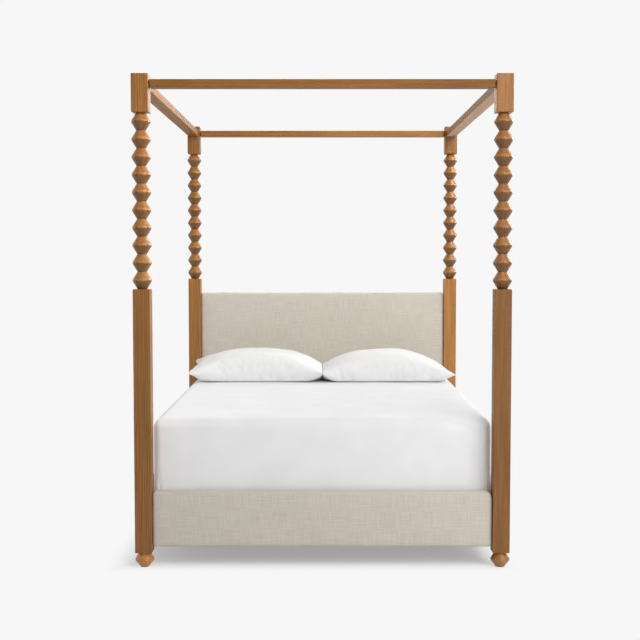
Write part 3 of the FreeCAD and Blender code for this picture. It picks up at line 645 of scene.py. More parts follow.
STEEL = Metal("zinc plated steel", colour(0.62, 0.63, 0.65), colour(0.45, 0.46, 0.48))
BRONZED = Metal("bronzed steel", colour(0.075, 0.048, 0.032), colour(0.045, 0.028, 0.020), 0.5)
BRASS = Metal("plain brass", colour(0.78, 0.58, 0.26), colour(0.56, 0.38, 0.15), 0.30)
FELT = Moulded("felt glide", colour(0.20, 0.15, 0.11), colour(0.12, 0.09, 0.07), 900.0, 0.85)
BLACK_PAD = Moulded("black pad", colour(0.035, 0.035, 0.037), colour(0.06, 0.06, 0.06))


def dress(node: str, material: bpy.types.Material) -> None:
    """Give a CAD node its finish.

    Args:
        node: the node's name.
        material: the finish.
    """
    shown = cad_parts[node]
    if not shown.material_slots:
        shown.data.materials.append(material)
    for slot in shown.material_slots:
        slot.material = material


def corners(node: str) -> tuple[Vector, Vector]:
    """Give the lowest and the highest corner of a CAD node."""
    low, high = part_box(node)
    return Vector(low), Vector(high)


def from_edges(points: np.ndarray, low: Vector, high: Vector, axes: tuple[int, int]) -> np.ndarray:
    """Measure how far points are inside the nearest edge of a box.

    Args:
        points: the points.
        low: the box's lowest corner.
        high: its highest corner.
        axes: the two axes that count.

    Returns:
        A distance for each.
    """
    gaps = [points[:, axis] - low[axis] for axis in axes]
    gaps += [high[axis] - points[:, axis] for axis in axes]
    return np.minimum.reduce(gaps)


def past(axis: int, level: float, sign: float = 1.0) -> Test:
    """Find the edges at or above a level of an axis, or below it where the sign is -1."""
    return lambda first, second: all((end[axis] - level) * sign > -TINY for end in (first, second))


class Piece:
    """A new piece, shaped with Blender's own tools, with its place in its mesh."""

    def __init__(self, shown: bpy.types.Object, name: str) -> None:
        """Name the object that was just added, and put its place in its mesh.

        Args:
            shown: the object.
            name: the piece's name.
        """
        self.shown = shown
        shown.name = name
        shown.data.name = name
        bpy.ops.object.transform_apply(location=True, rotation=True, scale=True)

    @classmethod
    def from_box(cls, name: str, low: Point, high: Point) -> "Piece":
        """Start from a block.

        Args:
            name: the piece's name.
            low: its lowest corner.
            high: its highest corner.

        Returns:
            The piece.
        """
        bpy.ops.object.select_all(action="DESELECT")
        middle = (Vector(low) + Vector(high)) / 2
        bpy.ops.mesh.primitive_cube_add(size=1.0, location=middle)
        shown = bpy.context.active_object
        shown.scale = Vector(high) - Vector(low)
        return cls(shown, name)

    @classmethod
    def from_grid(cls, name: str, middle: Point, size: Size, cells: tuple[int, int]) -> "Piece":
        """Start from a level sheet.

        Args:
            name: the piece's name.
            middle: its middle.
            size: its size along X and Y.
            cells: how many cells it has along X and Y.

        Returns:
            The piece.
        """
        bpy.ops.object.select_all(action="DESELECT")
        bpy.ops.mesh.primitive_grid_add(
            x_subdivisions=cells[0], y_subdivisions=cells[1], size=1.0, location=middle
        )
        shown = bpy.context.active_object
        shown.scale = (size[0], size[1], 1.0)
        return cls(shown, name)

    @property
    def mesh(self) -> bpy.types.Mesh:
        """Give the piece's mesh."""
        return self.shown.data

    def hold(self) -> None:
        """Make this the only piece that the tools act on."""
        bpy.ops.object.select_all(action="DESELECT")
        self.shown.select_set(True)
        bpy.context.view_layer.objects.active = self.shown

    def pick_none(self, kind: str) -> None:
        """Go through edit mode once to leave nothing picked.

        Args:
            kind: VERT, EDGE or FACE.
        """
        self.hold()
        bpy.ops.object.mode_set(mode="EDIT")
        bpy.ops.mesh.select_mode(type=kind)
        bpy.ops.mesh.select_all(action="DESELECT")
        bpy.ops.object.mode_set(mode="OBJECT")

    def pick_edges(self, test: Test) -> None:
        """Go into edit mode with some edges picked.

        Args:
            test: says of an edge's two ends whether it is picked.
        """
        self.pick_none("EDGE")
        points = self.mesh.vertices
        for edge in self.mesh.edges:
            first, second = edge.vertices
            edge.select = test(points[first].co, points[second].co)
        bpy.ops.object.mode_set(mode="EDIT")

    def pick_faces(self, test: Test) -> None:
        """Go into edit mode with some faces picked.

        Args:
            test: says of a face's middle and normal whether it is picked.
        """
        self.pick_none("FACE")
        for face in self.mesh.polygons:
            face.select = test(face.center, face.normal)
        bpy.ops.object.mode_set(mode="EDIT")

    def pick_all(self) -> None:
        """Go into edit mode with everything picked."""
        self.hold()
        bpy.ops.object.mode_set(mode="EDIT")
        bpy.ops.mesh.select_all(action="SELECT")

    def leave(self) -> None:
        """Go back to object mode."""
        bpy.ops.object.mode_set(mode="OBJECT")

    def round_edges(self, test: Test, radius: float, steps: int) -> None:
        """Round some edges.

        Args:
            test: says of an edge's two ends whether it is rounded.
            radius: the rounding's radius.
            steps: how many faces go round it.
        """
        self.pick_edges(test)
        bpy.ops.mesh.bevel(offset=radius, segments=steps, profile=0.5, affect="EDGES")
        self.leave()

    def drop_faces(self, test: Test) -> None:
        """Delete some faces.

        Args:
            test: says of a face's middle and normal whether it goes.
        """
        self.pick_faces(test)
        bpy.ops.mesh.delete(type="FACE")
        self.leave()

    def cut_rows(self, axis: int, low: float, high: float, pitch: float) -> None:
        """Cut the mesh into even rows along an axis.

        Args:
            axis: the axis.
            low: where the rows start.
            high: where they end.
            pitch: about how wide a row is.
        """
        rows = max(2, round((high - low) / pitch))
        across = [0.0, 0.0, 0.0]
        across[axis] = 1.0
        self.hold()
        bpy.ops.object.mode_set(mode="EDIT")
        for row in range(1, rows):
            at = [0.0, 0.0, 0.0]
            at[axis] = low + (high - low) * row / rows
            bpy.ops.mesh.select_all(action="SELECT")
            bpy.ops.mesh.bisect(plane_co=at, plane_no=across)
        self.leave()

    def read(self, what: str) -> np.ndarray:
        """Read a vector of each of the mesh's points.

        Args:
            what: co for the points' places, normal for their normals.

        Returns:
            The vectors, one row each.
        """
        found = np.empty(len(self.mesh.vertices) * 3)
        self.mesh.vertices.foreach_get(what, found)
        return found.reshape(-1, 3)

    def points(self) -> np.ndarray:
        """Give the mesh's points, one row each."""
        return self.read("co")

    def normals(self) -> np.ndarray:
        """Give the normals at the mesh's points, one row each."""
        return self.read("normal")

    def put_points(self, points: np.ndarray) -> None:
        """Move the mesh's points."""
        self.mesh.vertices.foreach_set("co", points.ravel())
        self.mesh.update()

    def modify(self, kind: str, settings: dict[str, object]) -> None:
        """Add a modifier and apply it.

        Args:
            kind: the modifier's type.
            settings: its properties.
        """
        self.hold()
        modifier = self.shown.modifiers.new(kind.title(), kind)
        for name, setting in settings.items():
            setattr(modifier, name, setting)
        bpy.ops.object.modifier_apply(modifier=modifier.name)

    def refine(self, levels: int = 1) -> None:
        """Divide and smooth the mesh."""
        self.modify("SUBSURF", {"levels": levels, "render_levels": levels})

    def thicken(self, thickness: float) -> None:
        """Give a skin its thickness, inwards."""
        self.modify("SOLIDIFY", {"thickness": thickness, "offset": -1.0})

    def weld(self, within: float = 0.0002) -> None:
        """Merge points that are close together.

        Args:
            within: how close they are.
        """
        self.pick_all()
        bpy.ops.mesh.remove_doubles(threshold=within)
        self.leave()

    def face_out(self) -> None:
        """Merge doubled points of a closed piece and turn all its faces outwards."""
        self.weld()
        self.pick_all()
        bpy.ops.mesh.normals_make_consistent(inside=False)
        self.leave()

    def smooth(self, angle: float = 50.0) -> None:
        """Shade the piece smooth up to an angle in degrees."""
        self.hold()
        bpy.ops.object.shade_smooth_by_angle(angle=math.radians(angle))

    def flatten_cloth(self, unfold: Callable[[Vector, Vector], tuple[float, float]]) -> None:
        """Lay the piece's cloth out flat in a UV map, in metres.

        Args:
            unfold: gives a point's flat place from its place and its face's normal.
        """
        layer = self.mesh.uv_layers.new(name="Cloth")
        points = self.mesh.vertices
        for face in self.mesh.polygons:
            for corner in face.loop_indices:
                at = points[self.mesh.loops[corner].vertex_index].co
                layer.data[corner].uv = unfold(at, face.normal)

    def wear(self, material: bpy.types.Material, slot: str, body: str, nodes: Sequence[str]) -> None:
        """Give the piece its finish and its body, and hide the CAD nodes that it stands for.

        Args:
            material: the finish.
            slot: the record's material slot; not used.
            body: the body that it moves with.
            nodes: the nodes that it stands for.
        """
        self.mesh.materials.clear()
        self.mesh.materials.append(material)
        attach(self.shown, body)
        if nodes:
            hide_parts(*nodes)
        LOG.info("%s: %d faces, on %s", self.shown.name, len(self.mesh.polygons), body)


def slow_waves(along: np.ndarray, across: np.ndarray, seed: int, lengths: Sequence[float]) -> np.ndarray:
    """Add up slow waves that run in different directions.

    Args:
        along: the points' places in one direction.
        across: their places in the other direction.
        seed: which set of directions and starts is used.
        lengths: the waves' lengths.

    Returns:
        A height from about -1 to 1 for each point.
    """
    picked = np.random.default_rng(seed)
    height = np.zeros_like(along)
    for length in lengths:
        heading = picked.uniform(0.0, math.tau)
        start = picked.uniform(0.0, math.tau)
        run = along * math.cos(heading) + across * math.sin(heading)
        height += np.sin(run * math.tau / length + start)
    return height / len(lengths)


class Facing(Enum):
    """The side that a panel's show face looks to: its axis, its sign, and the axis of its length."""

    FOOT = (1, -1.0, 0)
    LEFT = (0, -1.0, 1)
    RIGHT = (0, 1.0, 1)


@dataclass
class LinenPanel:
    """A board under foam, covered with linen that is turned over to its back."""

    name: str
    facing: Facing
    top_radii: Size = (0.020, 0.020)
    bottom_radius: float = 0.016
    face_radius: float = 0.014
    back_radius: float = 0.004
    margin: float = 0.030
    crown: float = 0.003
    skin: float = 0.0015
    pitch: float = 0.030
    crown_depth: float = 0.022
    crown_powers: tuple[int, int] = (8, 6)
    pull_reach: float = 0.045
    pull_rise: float = 0.0007
    pull_waves: tuple[float, ...] = (0.085, 0.13, 0.21)
    drift_rise: float = 0.0008
    drift_waves: tuple[float, ...] = (0.35, 0.52, 0.8)
    seed: int = 1

    def __post_init__(self) -> None:
        """Take the panel's place from its cover."""
        self.low, self.high = corners(self.name + "_cover")
        self.across, self.sign, self.along = self.facing.value
        self.face = self.high[self.across] if self.sign > 0 else self.low[self.across]
        self.thickness = self.high[self.across] - self.low[self.across]

    def depth(self, at: Vector) -> float:
        """Give how far a point is behind the show face."""
        return (self.face - at[self.across]) * self.sign

    def is_corner(self, side: float, level: float) -> Test:
        """Find one of the four edges that run from the front to the back.

        Args:
            side: its place along the panel.
            level: its height.

        Returns:
            A test of an edge's two ends.
        """

        def test(first: Vector, second: Vector) -> bool:
            """Say whether both ends are on that edge."""
            ends = (first, second)
            return all(abs(end[self.along] - side) < TINY and abs(end.z - level) < TINY for end in ends)

        return test

    def is_rim(self, depth: float) -> Test:
        """Find the rim at a depth."""
        return lambda first, second: all(abs(self.depth(end) - depth) < TINY for end in (first, second))

    def is_back(self, at: Vector, normal: Vector) -> bool:
        """Say whether a face is the panel's back."""
        return normal[self.across] * self.sign < -0.999 and self.depth(at) > self.thickness - TINY

    def is_inside_margin(self, at: Vector, normal: Vector) -> bool:
        """Say whether a face is the part of the back inside the turned-over margin."""
        return self.is_back(at, normal) and bool(self.from_edges(np.array([at]))[0] > self.margin)

    def from_edges(self, points: np.ndarray) -> np.ndarray:
        """Measure how far points are from the panel's nearest edge."""
        return from_edges(points, self.low, self.high, (self.along, 2))

    def mitre(self, points: np.ndarray) -> np.ndarray:
        """Bring the margin's inner rim to square corners.

        Args:
            points: the cover's points, with the margin just made.

        Returns:
            Their new places.
        """
        behind = (self.face - points[:, self.across]) * self.sign
        inner = (behind > self.thickness - TINY) & (self.from_edges(points) > self.margin / 2)
        moved = points.copy()
        for axis in (self.along, 2):
            held = np.clip(points[:, axis], self.low[axis] + self.margin, self.high[axis] - self.margin)
            moved[inner, axis] = held[inner]
        return moved

    def pad_out(self, points: np.ndarray) -> np.ndarray:
        """Crown the show face and let the stretched cloth ripple a little.

        Args:
            points: the cover's points.

        Returns:
            Their new places.
        """
        run = points[:, self.along]
        rise = points[:, 2]
        length = self.high[self.along] - self.low[self.along]
        height = self.high.z - self.low.z
        u = 2 * (run - (self.low[self.along] + self.high[self.along]) / 2) / length
        v = 2 * (rise - (self.low.z + self.high.z) / 2) / height
        behind = (self.face - points[:, self.across]) * self.sign
        front = np.clip(1.0 - behind / self.crown_depth, 0.0, 1.0)
        flat_along, flat_up = self.crown_powers
        swell = self.crown * (1 - np.abs(u) ** flat_along) * (1 - np.abs(v) ** flat_up)
        from_edge = np.minimum((1 - np.abs(u)) * length, (1 - np.abs(v)) * height) / 2
        near_edge = np.exp(-np.maximum(from_edge, 0.0) / self.pull_reach)
        pull = self.pull_rise * near_edge * slow_waves(run, rise, self.seed, self.pull_waves)
        drift = self.drift_rise * slow_waves(run, rise, self.seed + 1, self.drift_waves)
        moved = points.copy()
        moved[:, self.across] += self.sign * front * (swell - self.crown + pull + drift * (1 - near_edge))
        return moved

    def unfold(self, at: Vector, normal: Vector) -> tuple[float, float]:
        """Lay the cover flat round the show face.

        Args:
            at: a point of the cover.
            normal: its face's normal.

        Returns:
            The point's flat place.
        """
        run = at[self.along]
        rise = at.z
        beyond = self.depth(at)
        steep = abs(normal[self.across])
        if steep < abs(normal[self.along]):
            return run + math.copysign(beyond, normal[self.along]), rise
        if steep < abs(normal.z):
            return run, rise + math.copysign(beyond, normal.z)
        return run, rise

    def build(self, cloth: bpy.types.Material) -> Piece:
        """Model the cover.

        Args:
            cloth: its finish.

        Returns:
            The cover.
        """
        cover = Piece.from_box(self.name + "_linen", self.low, self.high)
        ends = (self.low[self.along], self.high[self.along])
        for side, radius in zip(ends, self.top_radii):
            cover.round_edges(self.is_corner(side, self.high.z), radius, 6)
            cover.round_edges(self.is_corner(side, self.low.z), self.bottom_radius, 5)
        cover.round_edges(self.is_rim(0.0), self.face_radius, 5)
        cover.round_edges(self.is_rim(self.thickness), self.back_radius, 3)
        cover.pick_faces(self.is_back)
        bpy.ops.mesh.inset(thickness=self.margin - self.back_radius, depth=0.0)
        cover.leave()
        cover.put_points(self.mitre(cover.points()))
        cover.drop_faces(self.is_inside_margin)
        cover.weld()
        cover.cut_rows(self.along, ends[0], ends[1], self.pitch)
        cover.cut_rows(2, self.low.z, self.high.z, self.pitch)
        cover.weld()
        cover.put_points(self.pad_out(cover.points()))
        cover.thicken(self.skin)
        cover.flatten_cloth(self.unfold)
        cover.smooth()
        cover.wear(cloth, "linen", "frame", (self.name + "_cover", self.name + "_foam"))
        return cover


@dataclass
class BackLining:
    """The lining that closes the headboard's back, turned in and stapled round its edge."""

    node: str = "headboard_back_cloth"
    pitch: float = 0.035
    skin: float = 0.0011
    staple: Point = (0.011, 0.0009, 0.0012)
    staple_pitch: float = 0.075
    staple_inset: float = 0.009
    staple_sunk: float = 0.0002
    edge: float = 0.0005
    slack_reach: float = 0.06
    slack_rise: float = 0.0012
    tack_reach: float = 0.05
    tack_rise: float = 0.0004

    def build(self, cloth: bpy.types.Material, metal: bpy.types.Material) -> None:
        """Model the lining and its staples.

        Args:
            cloth: the lining's finish.
            metal: the staples' finish.
        """
        low, high = corners(self.node)
        lining = Piece.from_box("headboard_lining", (low.x, high.y - self.skin, low.z), high)
        lining.round_edges(past(1, high.y), self.edge, 2)
        lining.cut_rows(0, low.x, high.x, self.pitch)
        lining.cut_rows(2, low.z, high.z, self.pitch)
        points = lining.points()
        inside = from_edges(points, low, high, (0, 2))
        slack = np.clip(inside / self.slack_reach, 0.0, 1.0)
        waves = slow_waves(points[:, 0], points[:, 2], 11, (0.22, 0.34, 0.55))
        tacked = slow_waves(points[:, 0], points[:, 2], 12, (0.09, 0.15))
        tacked *= np.exp(-inside / self.tack_reach)
        points[:, 1] += self.slack_rise * slack * (0.5 + 0.5 * waves) + self.tack_rise * slack * tacked
        lining.put_points(points)
        lining.flatten_cloth(lambda at, normal: (at.x, at.z))
        lining.smooth()
        lining.wear(cloth, "linen", "frame", (self.node,))
        self.build_staples(low, high, metal)

    def build_staples(self, low: Vector, high: Vector, metal: bpy.types.Material) -> None:
        """Model one staple and copy it along the lining's edges.

        Args:
            low: the lining's lowest corner.
            high: its highest corner.
            metal: the staples' finish.
        """
        length, width, height = self.staple
        base = high.y - self.staple_sunk
        half = Vector((length / 2, height / 2, width / 2))
        middle = Vector((0.0, base + height / 2, 0.0))
        first = Piece.from_box("headboard_staples", middle - half, middle + half)
        first.round_edges(past(1, base + height), width * 0.4, 2)
        copies = []
        for x, z, upright in self.places(low, high):
            copy = first.shown.copy()
            copy.data = first.mesh.copy()
            bpy.context.collection.objects.link(copy)
            copy.location = (x, 0.0, z)
            copy.rotation_euler = (0.0, math.pi / 2 if upright else 0.0, 0.0)
            copies.append(copy)
        bpy.data.objects.remove(first.shown)
        bpy.ops.object.select_all(action="DESELECT")
        for copy in copies:
            copy.select_set(True)
        bpy.context.view_layer.objects.active = copies[0]
        bpy.ops.object.join()
        staples = Piece(bpy.context.active_object, "headboard_staples")
        staples.smooth(40.0)
        staples.wear(metal, "steel", "frame", ())

    def places(self, low: Vector, high: Vector) -> list[tuple[float, float, bool]]:
        """Space the staples along the four edges.

        Args:
            low: the lining's lowest corner.
            high: its highest corner.

        Returns:
            Each staple's place, and whether it stands upright.
        """
        found = []
        wide = round((high.x - low.x) / self.staple_pitch)
        tall = round((high.z - low.z) / self.staple_pitch)
        for step in range(1, wide):
            x = low.x + (high.x - low.x) * step / wide
            found += [(x, low.z + self.staple_inset, False), (x, high.z - self.staple_inset, False)]
        for step in range(1, tall):
            z = low.z + (high.z - low.z) * step / tall
            found += [(low.x + self.staple_inset, z, True), (high.x - self.staple_inset, z, True)]
        return found


@dataclass
class Frame:
    """The wooden frame, its fittings and its slatted base."""

    corners: tuple[str, ...] = ("front_left", "front_right", "rear_left", "rear_right")
    # Tones per corner: partly the wood's own tone, partly painted light and shade; the feet are lightened to
    # paint the light from the floor below.
    post_shading_tones: tuple[float, ...] = (0.85, 0.81, 1.22, 1.42)
    block_shading_tones: tuple[float, ...] = (1.02, 1.16, 0.95, 1.0)
    foot_shading_tones: tuple[float, ...] = (1.75, 1.3, 1.1, 1.2)
    beads: int = 10
    plug_tone: float = 0.95
    # The rails' tones also paint light and shade, partly with their own tone.
    rails: tuple[tuple[str, Wood], ...] = (
        ("front", replace(CROSS_OAK, tone=0.80)),
        ("rear", replace(CROSS_OAK, tone=1.12)),
        ("left", replace(LONG_OAK, tone=0.98)),
        # The right rail's underside takes the painted reflection of the floor.
        ("right", replace(LONG_OAK, tone=1.0, floor_reflection_show=0.7, specular=0.015)),
    )
    bronzed: tuple[str, ...] = ("canopy_hook_plates", "canopy_receiver_plates")
    steel: tuple[str, ...] = (
        "foot_studs",
        "post_studs",
        "rail_hook_plates",
        "rail_receiver_plates",
        "panel_bolts",
        "panel_barrel_nuts",
        "plate_screws",
        "slat_screws",
        "ledge_screws",
        "leg_studs",
    )

    def build(self) -> None:
        """Give every wooden and metal node its finish."""
        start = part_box("lower_post_front_left")[1][2]
        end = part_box("top_block_front_left")[0][2]
        turned = replace(TURNED_OAK, start=start, pitch=(end - start) / self.beads).material()
        tones = zip(self.corners, self.post_shading_tones, self.block_shading_tones, self.foot_shading_tones)
        for corner, post, block, foot in tones:
            dress("lower_post_" + corner, POST_OAK.toned("post " + corner, post))
            dress("top_block_" + corner, POST_OAK.toned("block " + corner, block))
            dress("spool_" + corner, turned)
            dress("foot_" + corner, FOOT_OAK.toned(corner, foot))
        for side, oak in self.rails:
            node = "canopy_rail_" + side
            if isinstance(oak, RailWood):
                oak = replace(oak, level=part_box(node)[0][2])
            dress(node, oak.toned(side, oak.tone))
        dress("bolt_plugs", CROSS_OAK.toned("plugs", self.plug_tone))
        metal = STEEL.material()
        for node in self.steel:
            dress(node, metal)
        dark_metal = BRONZED.material()
        for node in self.bronzed:
            dress(node, dark_metal)
        dress("leg_inserts", BRASS.material())
        dress("foot_glides", FELT.material())
        self.build_base()
        LOG.info("frame: posts, canopy and fittings dressed")

    def build_base(self) -> None:
        """Give the slatted base and the panels' boards their finishes."""
        lengthwise = LONG_PINE.material()
        upright = UPRIGHT_PINE.material()
        pad = BLACK_PAD.material()
        ply = CROSS_BIRCH.material()
        long_ply = LONG_BIRCH.material()
        dress("slats", CROSS_PINE.material())
        dress("centre_beam", lengthwise)
        for side in ("left", "right"):
            dress("slat_ledge_" + side, lengthwise)
            dress(f"side_rail_{side}_core", long_ply)
        for end in ("front", "rear"):
            dress("centre_leg_" + end, upright)
            dress("leveller_" + end, pad)
        dress("headboard_core", ply)
        dress("footboard_core", ply)


@dataclass
class Upholstery:
    """The four linen-covered panels and the headboard's lining."""

    panels: list[LinenPanel] = field(
        default_factory=lambda: [
            LinenPanel("headboard", Facing.FOOT, (0.018, 0.018), seed=21),
            LinenPanel("footboard", Facing.FOOT, (0.016, 0.032), seed=31),
            LinenPanel("side_rail_left", Facing.LEFT, seed=41),
            LinenPanel("side_rail_right", Facing.RIGHT, seed=51),
        ]
    )

    def build(self) -> None:
        """Model the covers, the lining and its staples."""
        linen = OATMEAL_LINEN.material()
        for panel in self.panels:
            panel.build(linen)
        BackLining().build(LINING.material(), STEEL.material())


FOLD_TAPER = 0.7
CROWN_REACH = 0.17


@dataclass(frozen=True)
class Fold:
    """A soft ridge that pulls the sheet along a line."""

    line: tuple[Point, ...]
    width: float
    height: float

    def rise(self, points: np.ndarray) -> np.ndarray:
        """Give how far the ridge lifts each point.

        Args:
            points: the sheet's points.

        Returns:
            The lift in metres.
        """
        line = np.array(self.line)
        count = len(line) - 1
        nearest = np.full(len(points), np.inf)
        along = np.zeros(len(points))
        for index in range(count):
            step = line[index + 1] - line[index]
            share = np.clip((points - line[index]) @ step / (step @ step), 0.0, 1.0)
            away = np.linalg.norm(points - line[index] - share[:, None] * step, axis=1)
            closer = away < nearest
            nearest[closer] = away[closer]
            along[closer] = (index + share[closer]) / count
        taper = np.sin(np.pi * np.clip(along, 0.0, 1.0)) ** FOLD_TAPER
        return self.height * taper * np.exp(-((nearest / self.width) ** 2))


CORNER_PULL = Fold(
    (
        (0.14, -0.83, 0.665),
        (0.40, -0.985, 0.655),
        (0.60, -1.008, 0.636),
        (0.68, -1.012, 0.618),
        (0.735, -1.005, 0.585),
        (0.752, -0.998, 0.480),
    ),
    0.015,
    -0.0050,
)


@dataclass
class SoftBlock:
    """A soft block with rounded edges, cut finer by its foot end, its right side and its top."""

    corner: float
    top_radius: float
    crown: float
    pitch: float
    fine_pitch: float
    fine_reach: float = 0.16

    def start(self, name: str, low: Vector, high: Vector) -> Piece:
        """Model the block and round its upright edges and its top.

        Args:
            name: the piece's name.
            low: the block's lowest corner.
            high: its highest corner.

        Returns:
            The block.
        """
        block = Piece.from_box(name, low, high)
        tall = (high.z - low.z) / 2
        block.round_edges(lambda a, b: abs(a.z - b.z) > tall, self.corner, 8)
        block.round_edges(past(2, high.z), self.top_radius, 6)
        return block

    def cut(self, block: Piece, low: Vector, high: Vector) -> None:
        """Cut the block into rows.

        Args:
            block: the block.
            low: its lowest corner.
            high: its highest corner.
        """
        for axis, fine_first in enumerate((False, True, False)):
            edge = low[axis] + self.fine_reach if fine_first else high[axis] - self.fine_reach
            pitches = (self.fine_pitch, self.pitch) if fine_first else (self.pitch, self.fine_pitch)
            block.cut_rows(axis, low[axis], edge, pitches[0])
            block.cut_rows(axis, edge, high[axis], pitches[1])

    def crown_drop(self, points: np.ndarray, low: Vector, high: Vector) -> np.ndarray:
        """Lower the block's top towards its edges.

        Args:
            points: the block's points.
            low: its lowest corner.
            high: its highest corner.

        Returns:
            How far each point comes down.
        """
        inside = from_edges(points, low, high, (0, 1))
        upper = np.clip((points[:, 2] - low.z) / (high.z - low.z), 0.0, 1.0) ** 2
        return self.crown * upper * (1.0 - np.clip(inside / CROWN_REACH, 0.0, 1.0)) ** 2


@dataclass
class Mattress(SoftBlock):
    """The quilted mattress, rounded at its base and its top."""

    corner: float = 0.033
    top_radius: float = 0.041
    crown: float = 0.006
    pitch: float = 0.06
    fine_pitch: float = 0.02
    base_radius: float = 0.022
    shrink: float = 0.0012
    pull: Fold = field(default_factory=lambda: replace(CORNER_PULL, width=0.027, height=-0.0078))

    def build(self, cloth: bpy.types.Material) -> None:
        """Model the mattress.

        Args:
            cloth: its finish.
        """
        low, high = corners("mattress")
        inset = Vector((self.shrink, self.shrink, 0.0))
        low += inset
        high -= inset + Vector((0.0, 0.0, self.shrink))
        body = self.start("mattress_quilted", low, high)
        body.round_edges(past(2, low.z, -1.0), self.base_radius, 4)
        self.cut(body, low, high)
        body.face_out()
        points = body.points()
        points += body.normals() * self.pull.rise(points)[:, None]
        points[:, 2] -= self.crown_drop(points, low, high)
        body.put_points(points)
        body.smooth()
        body.wear(cloth, "ticking", "mattress", ("mattress",))


@dataclass
class FittedSheet(SoftBlock):
    """The sheet that is stretched over the mattress and held by an elastic hem."""

    corner: float = 0.034
    top_radius: float = 0.043
    crown: float = 0.005
    pitch: float = 0.036
    fine_pitch: float = 0.018
    skin: float = 0.0010
    top_ripple: float = 0.0004
    top_waves: tuple[float, ...] = (0.42, 0.6, 0.9)
    side_ripple: float = 0.0012
    side_waves: tuple[float, ...] = (0.30, 0.47, 0.75)
    hem: float = 0.022
    hem_rise: float = 0.0010
    stitch_dip: float = 0.0008
    stitch_width: float = 0.005
    gather: float = 0.0022
    gather_pitch: float = 0.021
    gather_reach: float = 0.30
    gather_height: float = 0.07
    folds: tuple[Fold, ...] = (
        CORNER_PULL,
        Fold(((-0.45, -1.016, 0.60), (-0.60, -1.016, 0.50), (-0.70, -1.010, 0.38)), 0.040, 0.0020),
        Fold(((0.764, -0.92, 0.60), (0.764, -0.75, 0.50), (0.764, -0.62, 0.37)), 0.035, 0.0035),
        Fold(((0.764, 0.93, 0.61), (0.764, 0.80, 0.52), (0.764, 0.72, 0.36)), 0.030, 0.0035),
        Fold(((-0.764, -0.93, 0.60), (-0.764, -0.80, 0.52), (-0.764, -0.70, 0.36)), 0.032, 0.0035),
        Fold(((-0.764, 0.92, 0.60), (-0.764, 0.74, 0.50), (-0.764, 0.60, 0.37)), 0.036, 0.0035),
        Fold(((0.50, 0.86, 0.664), (0.66, 0.95, 0.655), (0.74, 0.99, 0.60)), 0.024, 0.0030),
        Fold(((-0.46, 0.88, 0.664), (-0.64, 0.95, 0.655), (-0.74, 0.99, 0.60)), 0.024, 0.0030),
    )

    def build(self, cloth: bpy.types.Material) -> None:
        """Model the sheet.

        Args:
            cloth: its finish.
        """
        low, high = corners("fitted_sheet")
        sheet = self.start("sheet_fitted", low, high)
        sheet.drop_faces(lambda at, normal: normal.z < -0.9)
        self.cut(sheet, low, high)
        sheet.weld()
        points = sheet.points()
        points[:, 2] -= self.crown_drop(points, low, high)
        sheet.put_points(points)
        sheet.refine()
        sheet.put_points(self.stretch(sheet.points(), sheet.normals(), low, high))
        sheet.thicken(self.skin)
        sheet.smooth(60.0)
        sheet.wear(cloth, "sheet_cotton", "mattress", ("fitted_sheet",))

    def stretch(self, points: np.ndarray, normals: np.ndarray, low: Vector, high: Vector) -> np.ndarray:
        """Let the sheet ripple, fold at its corners and gather at its hem.

        Args:
            points: the sheet's points.
            normals: the normals at these points.
            low: the sheet's lowest corner.
            high: its highest corner.

        Returns:
            The points' new places.
        """
        x, y, z = points.T
        round_it = np.where(np.abs(normals[:, 0]) > np.abs(normals[:, 1]), y, x)
        upright = 1.0 - np.abs(normals[:, 2])
        lift = self.top_ripple * (1.0 + slow_waves(x, y, 61, self.top_waves)) * (1.0 - upright)
        lift += self.side_ripple * (1.0 + slow_waves(round_it, z, 62, self.side_waves)) * upright
        for fold in self.folds:
            lift += fold.rise(points)
        from_hem = z - low.z
        to_corner = np.hypot(np.abs(x) - high.x, np.where(y > 0, y - high.y, low.y - y))
        gathered = np.exp(-((to_corner / self.gather_reach) ** 2))
        gathered *= np.exp(-((from_hem / self.gather_height) ** 2))
        lift += self.gather * gathered * (1.0 + np.sin((x + y) * math.tau / self.gather_pitch))
        stitched = np.exp(-(((from_hem - self.hem) / self.stitch_width) ** 2))
        lift += self.hem_rise * (from_hem < self.hem) - self.stitch_dip * stitched
        return points + normals * lift[:, None]


FILLING = {
    "quality": 6,
    "mass": 0.25,
    "tension_stiffness": 20.0,
    "compression_stiffness": 20.0,
    "shear_stiffness": 8.0,
    "bending_stiffness": 0.6,
    "tension_damping": 12.0,
    "compression_damping": 12.0,
}
CREST_BEYOND = 0.2
CREST_STEPS = 281
CREST_WINDOW = 57
TOP_WINDOW = 7
LEFT_CREST = ((0.0, 0.10), (0.11, 0.62), (0.24, 0.88), (0.45, 1.0), (0.68, 0.96), (0.86, 0.70), (1.0, 0.25))
RIGHT_CREST = (
    (0.0, 0.10),
    (0.14, 0.64),
    (0.30, 0.90),
    (0.50, 0.97),
    (0.64, 0.95),
    (0.80, 0.68),
    (0.93, 0.22),
    (1.0, 0.0),
)


